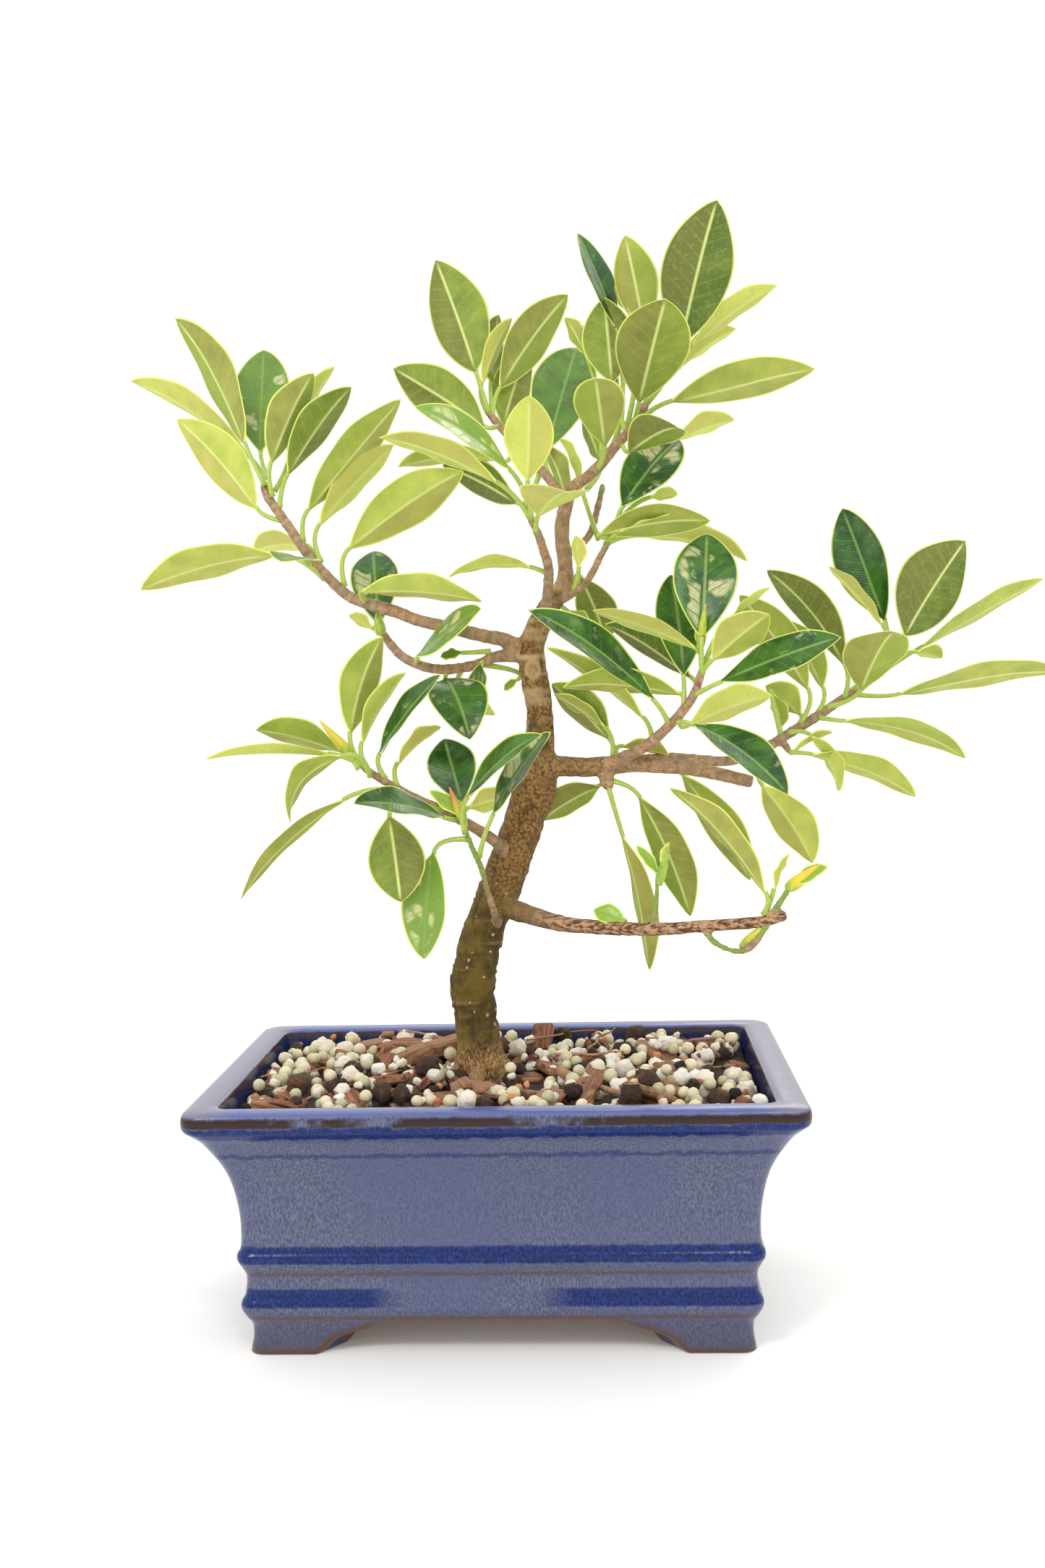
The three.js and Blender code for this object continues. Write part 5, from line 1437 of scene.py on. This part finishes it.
# %% [markdown]
# ### Buds
#
# The newest leaf of a shoot is still rolled up in a pointed sheath. Its radius at a share t of
# its length is about r · sin(pi t^0.62)^0.8, with a round foot. One of the sheaths is rosy, and
# the others are green or have dried to yellow. A bud is round all along, so a tube with a
# changing radius does for it where a leaf's loft would be wasted.
# %% Rolled sheaths
buds = [  # limb, foot, tip, biggest radius, how yellow, how rosy
    ("front_twig", [-11.8, -14, 175.5], [-17, -15, 188.4], 1.5, 0.7, 1.0),
    ("lower_left", [-52.5, -10, 200.4], [-64.5, -12, 212.6], 1.5, 0.9, 0.15),
    ("left", [-41.8, -2, 243.5], [-43.2, -4, 252.4], 2.1, 0.1, 0.0),
    ("right_shoot", [73.7, -14, 238.5], [75.5, -16, 254.6], 1.5, 0.3, 0.0),
    ("low_right", [105.8, -19, 152], [117.4, -22, 161], 2.1, 1.0, 0.2),
    ("low_right", [89.5, -15, 130.2], [99.5, -18, 140.4], 1.9, 0.5, 0.0),
    ("low_right", [59.4, -13, 153], [63, -15, 168.6], 1.4, 0.0, 0.0),
    ("crown_side", [40.4, -8, 277], [46, -10, 283.6], 1.1, 0.2, 0.0),
]


bud_around = 20


def grow_buds():
    """All the sheaths as one piece, with marks for the share of the length and the colours."""
    shapes = []
    t = np.linspace(0, 1, 26)
    for limb, foot, tip, radius, yellow, rosy in buds:
        ends = placed(limb, [foot, tip])
        sag = np.sin(np.pi * t)[:, None] * [0, 0, -0.35]
        path = ends[0] + (ends[1] - ends[0]) * t[:, None] + sag
        radii = radius * np.sin(np.pi * (0.06 + 0.93 * t) ** 0.62) ** 0.8 + 0.12
        points, faces = loft(tube(path, radii, bud_around))
        share = np.append(np.repeat(t, bud_around), [0, 1])
        marks = {"share": share, "yellow": 0 * share + yellow, "rosy": 0 * share + rosy}
        shapes.append((points, faces, marks))
    return new_object("rolled_buds", *gathered(shapes))


rolled_buds = grow_buds()
print(len(buds), "buds")

# %% Bud finish
def bud_finish():
    """A ribbed green sheath that turns yellow or rosy towards its tip."""
    sheath = Finish("bud_sheath")
    share, rosy = sheath.attribute("share"), sheath.attribute("rosy")
    ribs = sheath.noise(0.9, 3.0, sheath.stretched((1, 1, 0.4)))
    tint = sheath.mix(colour("86a83a"), colour("b3cc52"), ribs.ramp(0.35, 0.65))
    tint = sheath.mix(tint, colour("e8cf3e"), sheath.attribute("yellow") * share.ramp(0.0, 0.5))
    tint = sheath.mix(tint, colour("d98a5c"), rosy * share.ramp(0.3, 0.9))
    normal = sheath.bump(ribs, 0.15, 0.6)
    return sheath.surface(Base_Color=tint, Roughness=0.4 + ribs * 0.15, Normal=normal)


finished(rolled_buds, bud_finish())
print("bud finish on", rolled_buds.name)

# %% [markdown]
# ## The potting mix
#
# The tree stands in a coarse mix: white perlite, round pellets of fertiliser in clumps, chips
# of pine bark, dark porous lava and a few bits of fired clay. A dark bed fills the pot, and the
# loose grains lie on it in a heap. Scattering them over the bed would let them cut into each
# other, and a physics run would be slow. So each grain in turn is dropped at random and comes
# to rest on the bed or on the grains that it touches. Grains are repeated by the hundred, so
# each is a small loft with a few dozen faces.
# %% Bed
bed_top = mix_top - 2.2


def bed_height(points):
    """The bed's height at level places: its top plus two sizes of lumps."""
    flat = np.column_stack([points[:, :2], np.zeros(len(points))])
    return bed_top + 0.9 * lumps(flat, 9, 21) + 0.5 * lumps(flat, 3.1, 22)


def make_bed():
    """Rings up the inside of the pot, then the same ring shrunk step by step to its middle."""
    rings = [ring_of_pot(inset, height, inner_corner) for inset, height in (
        (27.5, 22.3), (23.6, 26), (21.8, 44), (19.8, 56), (16.3, 67), (13.2, bed_top - 2.5))]
    rim = ring_of_pot(12.4, bed_top, inner_corner)
    for share in np.linspace(1, 0.02, 46) ** 0.9:
        ring = rim * [share, share, 1]
        ring[:, 2] = bed_height(ring + [pot_middle[0], pot_middle[1], 0]) - 1.2 * (share > 0.985)
        rings.append(ring)
    points, faces = loft(np.array(rings))
    return new_object("potting_mix_bed", points + [pot_middle[0], pot_middle[1], 0], faces)


bed = make_bed()
print("bed up to", round(bed_top, 1), "mm")

# %% Shapes of grains
grain_random = np.random.default_rng(5)


def ball(rows=6, around=10):
    """Points of a unit ball as rings: sin(latitude) up and cos(latitude) out."""
    latitude = (np.arange(1, rows) / rows - 0.5) * np.pi
    a = np.linspace(0, 2 * np.pi, around, endpoint=False)
    out = np.cos(latitude)[:, None]
    up = np.sin(latitude)[:, None] + 0 * a
    points, faces = loft(np.stack([out * np.cos(a), out * np.sin(a), up], -1))
    points[-2:] = [[0, 0, -1], [0, 0, 1]]
    return points, faces


def blocky(points, power=0.45):
    """A ball pushed towards a box: each coordinate keeps its sign and is raised to a power."""
    return np.sign(points) * np.abs(points) ** power / 1.15


def spin(tilt):
    """A random turn: any heading, and a lean of up to this many degrees."""
    heading = grain_random.uniform(0, 2 * np.pi)
    lean_x, lean_y = np.radians(grain_random.uniform(-tilt, tilt, 2))
    return turn_about(2, heading) @ turn_about(0, lean_x) @ turn_about(1, lean_y)


def grain_marks(points, hue):
    """The coordinate across the fibres, and one number for the tone of the whole grain."""
    return {"fibre": points[:, 1], "hue": np.full(len(points), hue)}


def grain(kind, size, seed, rows=6, around=10):
    """One grain of a kind, about its own middle: a ball made lumpy, and flattened or squared."""
    points, faces = ball(rows, around)
    if kind == "pellet":
        shape = points * (1 + 0.05 * lumps(points, 0.9, seed)[:, None])
    elif kind in ("chip", "bit"):
        shape = blocky(points)
        shape *= 1 + 0.3 * lumps(shape, 0.8, seed)[:, None] * [0.6, 1, 0.6]
    else:
        rough = lumps(points, 0.95, seed) + 0.7 * lumps(points, 0.4, seed + 1)
        shape = blocky(points, 0.7) * (1 + 0.3 * rough[:, None])
    return shape * size, faces


print("a small grain has", len(ball()[1]), "faces")

# %% Dropping a grain
kinds = {  # how many, smallest and biggest length, width and height as shares of it, lean
    "chip": (105, 9, 25, 0.5, 0.17, 24),
    "lava": (120, 4, 11, 0.85, 0.75, 180),
    "perlite": (230, 3.6, 9.5, 0.85, 0.75, 180),
    "bit": (170, 3, 8, 0.6, 0.4, 60),
    "pellet": (380, 4.2, 5.4, 1, 1, 180),
    "clay": (55, 2.8, 4.4, 0.8, 0.7, 180),
}
resting = []  # x, y, z and radius of each grain that has come to rest
heap_height = 6.2  # above the top of the bed
closeness = 0.82  # grains aren't round, so their balls may overlap a little
trunk_in_mix = trunk_line[6][:2]
wall_inset = 12.5  # from the rim's edge to the inside of the wall
trunk_clearance = 11.5


def free_place(margin):
    """A random place on the mix, clear of the wall and of the trunk."""
    half = pot_size[:2] / 2 - wall_inset - margin
    while True:
        spot = grain_random.uniform(-half, half) + pot_middle[:2]
        if np.linalg.norm(spot - trunk_in_mix) > trunk_clearance + margin * 0.6:
            return spot


def come_to_rest(spot, radius, lowest):
    """The lowest height at which a ball of this radius touches nothing that lies already."""
    if not resting:
        return lowest
    others = np.array(resting)
    away = np.linalg.norm(others[:, :2] - spot, axis=1)
    touch = (others[:, 3] + radius) * closeness
    near = away < touch
    if not near.any():
        return lowest
    rise = np.sqrt(touch[near] ** 2 - away[near] ** 2)
    return max(lowest, (others[near, 2] + rise).max())


def drop(kind, spot, length, width, height, tilt, seed, rows=6, around=10):
    """Drops one grain and returns it in place, or None if the heap is too high there."""
    size = np.array([length, length * width, length * height]) / 2
    radius = 0.5 * (size[1] + size[2]) if kind == "chip" else size.mean()
    low = bed_height(np.array([[*spot, 0]]))[0] + radius * 0.45
    level = come_to_rest(spot, radius * (0.75 if kind == "chip" else 1), low)
    if level > bed_top + heap_height:
        return None
    resting.append([*spot, level, radius])
    points, faces = grain(kind, size, seed, rows, around)
    marks = grain_marks(points, grain_random.uniform())
    place = np.array([*spot, level])
    return points @ spin(tilt).T + place, faces, marks


print(sum(row[0] for row in kinds.values()), "grains to drop")

# %% Chips put in given places
def placed_chip(spot, size, heading, lean, seed, lift=0.0):
    """A chip put in a given place: where it lies, its size, and its heading and lean in degrees."""
    points, faces = grain("chip", np.array(size) / 2, seed, 12, 20)
    marks = grain_marks(points, grain_random.uniform())
    turn = turn_about(2, math.radians(heading)) @ turn_about(1, math.radians(lean))
    level = bed_top + size[2] / 2 + 1.0 + lift
    centre = np.array([pot_middle[0] + spot[0], pot_middle[1] + spot[1], level])
    resting.append([*centre[:2], level - 1.5, size[1] * 0.42])
    return points @ turn.T + centre, faces, marks


by_hand = [
    placed_chip((-62, 45), (26, 12, 4), 8, -8, 31),
    placed_chip((-30, 27), (34, 13, 7), 14, -10, 32, 1.5),
    placed_chip((-76, -44), (20, 12, 4), 12, 10, 33),
    placed_chip((-35, -30), (13, 9, 4), 60, 20, 34),
    placed_chip((12, 47), (13, 10, 4), 80, -50, 35, 3),
    placed_chip((62, 47), (22, 6, 4), 4, 6, 36),
    placed_chip((79, 41), (20, 6, 4), 25, 10, 37),
    placed_chip((-4, -38), (18, 12, 4), 20, 12, 38),
]
print(len(by_hand), "chips put by hand")

# %% Filling the heap
cluster_spread = 4.2  # pellets lie in clumps, five at a time round one place
heap = {kind: [] for kind in kinds}
for kind, (count, least, most, width, height, tilt) in kinds.items():
    cluster = np.zeros(2)
    for number in range(count):
        length = least + (most - least) * grain_random.uniform() ** 1.8
        if kind == "pellet" and number % 5:
            spot = cluster + grain_random.normal(0, cluster_spread, 2)
        else:
            spot = cluster = free_place(length / 2.4)
        seed = int(grain_random.integers(1 << 20))
        past_wall = np.abs(spot - pot_middle[:2]) - pot_size[:2] / 2 + wall_inset + 2
        if past_wall.max() > 0 or np.linalg.norm(spot - trunk_in_mix) < trunk_clearance + 1:
            continue
        dropped = drop(kind, spot, length, width, height, tilt, seed)
        if dropped is not None:
            heap[kind].append(dropped)
heap["chip"] += by_hand
print({kind: len(grains) for kind, grains in heap.items()})

# %% [markdown]
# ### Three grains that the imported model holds
#
# The largest bark chip, lava lump and piece of perlite are nodes of their own. Each could be a
# bigger copy of a small grain, but its few faces would show, so it gets a finer loft. A few dry
# twigs and a bit of old root lie on top.
# %% Large grains
sunk_by = 0.8  # how far a large grain has settled into the mix


def large_grain(name, node, kind, seed, turn=0.0):
    """A fine grain that fills the box of its node."""
    low, high = (np.array(corner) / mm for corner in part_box(node))
    points, faces = grain(kind, np.ones(3), seed, 28, 44)
    reach = np.abs(points).max(axis=0)
    fine = 0.06 * lumps(points, 0.16, seed + 5) + 0.03 * lumps(points, 0.07, seed + 6)
    points = points / reach * (0.92 + fine[:, None])
    points = points * (high - low) / 2 @ turn_about(2, turn).T
    middle = (low + high) / 2 - [0, 0, sunk_by]
    return new_object(name, points + middle, faces, grain_marks(points, 0.5))


chip_lump = large_grain("large_bark_chip", "bark_chip", "chip", 41, math.radians(8))
lava_lump = large_grain("large_lava_lump", "lava_lump", "lava", 42)
perlite_lump = large_grain("large_perlite", "perlite_lump", "perlite", 43)
print("three large grains of", len(chip_lump.data.polygons), "faces each")

# %% Dry twigs
def twig(start, end, radius, seed, bow=0.12):
    """A thin stick that lies from start to end, bowed and kinked by smooth random heights."""
    t = np.linspace(0, 1, 14)[:, None]
    start, end = (np.array([pot_middle[0] + x, pot_middle[1] + y, z]) for x, y, z in (start, end))
    length = np.linalg.norm(end - start)
    t_place = np.column_stack([t * 4, 0 * t, 0 * t])
    kinks = np.column_stack([lumps(t_place, 1, seed + k) for k in range(3)]) * [1, 1, 0.25]
    path = start + (end - start) * t + bow * length * np.sin(np.pi * t) * kinks
    thin = radius * (1 - 0.55 * t[:, 0]) * (1 + 0.25 * lumps(t_place * 3, 1, seed + 9))
    return loft(tube(path, thin, 8, (0.1, 0.2, 1)))


stick_top = bed_top + 5.5
sticks = [
    twig((20, -6, stick_top), (44, -40, stick_top - 1), 1.9, 50),
    twig((18, 14, stick_top + 1), (44, 22, stick_top), 0.8, 51),
    twig((6, 40, stick_top + 1), (34, 52, stick_top + 2), 0.45, 52),
    twig((30, 26, stick_top), (41, 46, stick_top + 4), 0.6, 53),
    twig((-88, -12, stick_top), (-60, 2, stick_top), 0.5, 54),
    twig((-55, -20, stick_top), (-38, -4, stick_top), 0.5, 55),
    twig((60, -14, stick_top), (84, -2, stick_top), 0.5, 56),
    twig((-20, 44, stick_top), (-46, 52, stick_top + 3), 0.7, 57),
]
print(len(sticks), "twigs")

# %% [markdown]
# ### Finishes of the grains
#
# Each grain could have a material of its own, but hundreds would be slow and hard to change. So
# all the grains of a kind share one finish, and a random number on each one shifts its tone.
# Bark chips and the dry twigs are fibrous, so their streaks follow a coordinate across them.
# %% Grain finishes
def grain_finish(name, darkest, palest, speck, speck_share, size, depth, rough):
    """Mottled between two colours, with specks of a third where the noise is highest."""
    stone = Finish(name)
    hue = stone.attribute("hue")
    fine = stone.noise(size, 5.0, rough=0.65)
    pits = stone.cells(size * 1.4)
    tint = stone.mix(colour(darkest), colour(palest), (hue * 0.6 + fine * 0.9 - 0.25).ramp(0, 1))
    tint = stone.mix(tint, colour(speck), stone.noise(size * 3, 3.0).ramp(0.55, 0.7) * speck_share)
    normal = stone.bump(fine + pits * 0.6, depth, 0.9)
    return stone.surface(Base_Color=tint, Roughness=rough + fine * 0.1, Normal=normal)


def chip_finish():
    """Streaks of bark that follow the coordinate across the fibres."""
    wood = Finish("pine_bark_chip")
    across = wood.attribute("fibre") * 1.6 + wood.noise(6.0) * 2.5
    layers = wood.node("ShaderNodeCombineXYZ", {}, {0: across, 1: wood.attribute("hue") * 9})
    streaks = wood.node("ShaderNodeTexNoise", {}, {"Vector": layers, "Scale": 1.4, "Detail": 5.0})
    hue = wood.attribute("hue")
    tint = wood.mix(colour("55301f"), colour("b07a5c"), streaks.ramp(0.34, 0.64))
    tint = wood.mix(tint, colour("c09a72"), hue.ramp(0.55, 1.0) * 0.5)
    tint = wood.mix(tint, colour("38241b"), wood.noise(5.0).ramp(0.54, 0.7) * 0.6)
    normal = wood.bump(streaks + wood.noise(1.0, 4.0) * 0.5, 0.5, 0.9)
    return wood.surface(Base_Color=tint, Roughness=0.78 + streaks * 0.15, Normal=normal)


grain_finishes = {
    "chip": (chip_finish(), "bark_chip"),
    "lava": (grain_finish("porous_lava", "1f1712", "56402f", "7a5238", 0.5, 1.0, 0.7, 0.85), "lava"),
    "perlite": (grain_finish("perlite", "e6dac2", "fffcf2", "d8c09a", 0.4, 1.2, 0.5, 0.85), "perlite"),
    "pellet": (grain_finish("pellet", "b9b68e", "f6e8c6", "9fa688", 0.35, 2.2, 0.1, 0.42), "perlite"),
    "clay": (grain_finish("fired_clay", "b0623a", "e2a272", "8a4a30", 0.4, 1.2, 0.3, 0.85), "bark_chip"),
}
grain_finishes["bit"] = grain_finishes["chip"]
bed_finish = grain_finish("damp_mix", "2a1c14", "664834", "9a7354", 0.7, 2.0, 0.9, 0.9)
print(len(grain_finishes), "kinds of grain have their finish")

# %% Finished mix
names = {"chip": "bark_chips", "lava": "lava_grains", "perlite": "perlite_grains",
         "pellet": "fertiliser_pellets", "clay": "clay_bits", "bit": "bark_bits"}
finished(bed, bed_finish, ["potting_mix"])
for kind, grains in heap.items():
    material, slot = grain_finishes[kind]
    finished(new_object(names[kind], *gathered(grains)), material)
finished(chip_lump, grain_finishes["chip"][0], ["bark_chip"])
finished(lava_lump, grain_finishes["lava"][0], ["lava_lump"])
finished(perlite_lump, grain_finishes["perlite"][0], ["perlite_lump"])
stick_points, stick_faces = joined(sticks)
stick_marks = {"fibre": stick_points[:, 1] * 0.3, "hue": np.full(len(stick_points), 0.9)}
dry_twigs = new_object("dry_twigs", stick_points, stick_faces, stick_marks)
finished(dry_twigs, grain_finishes["chip"][0])
print("mix finished")
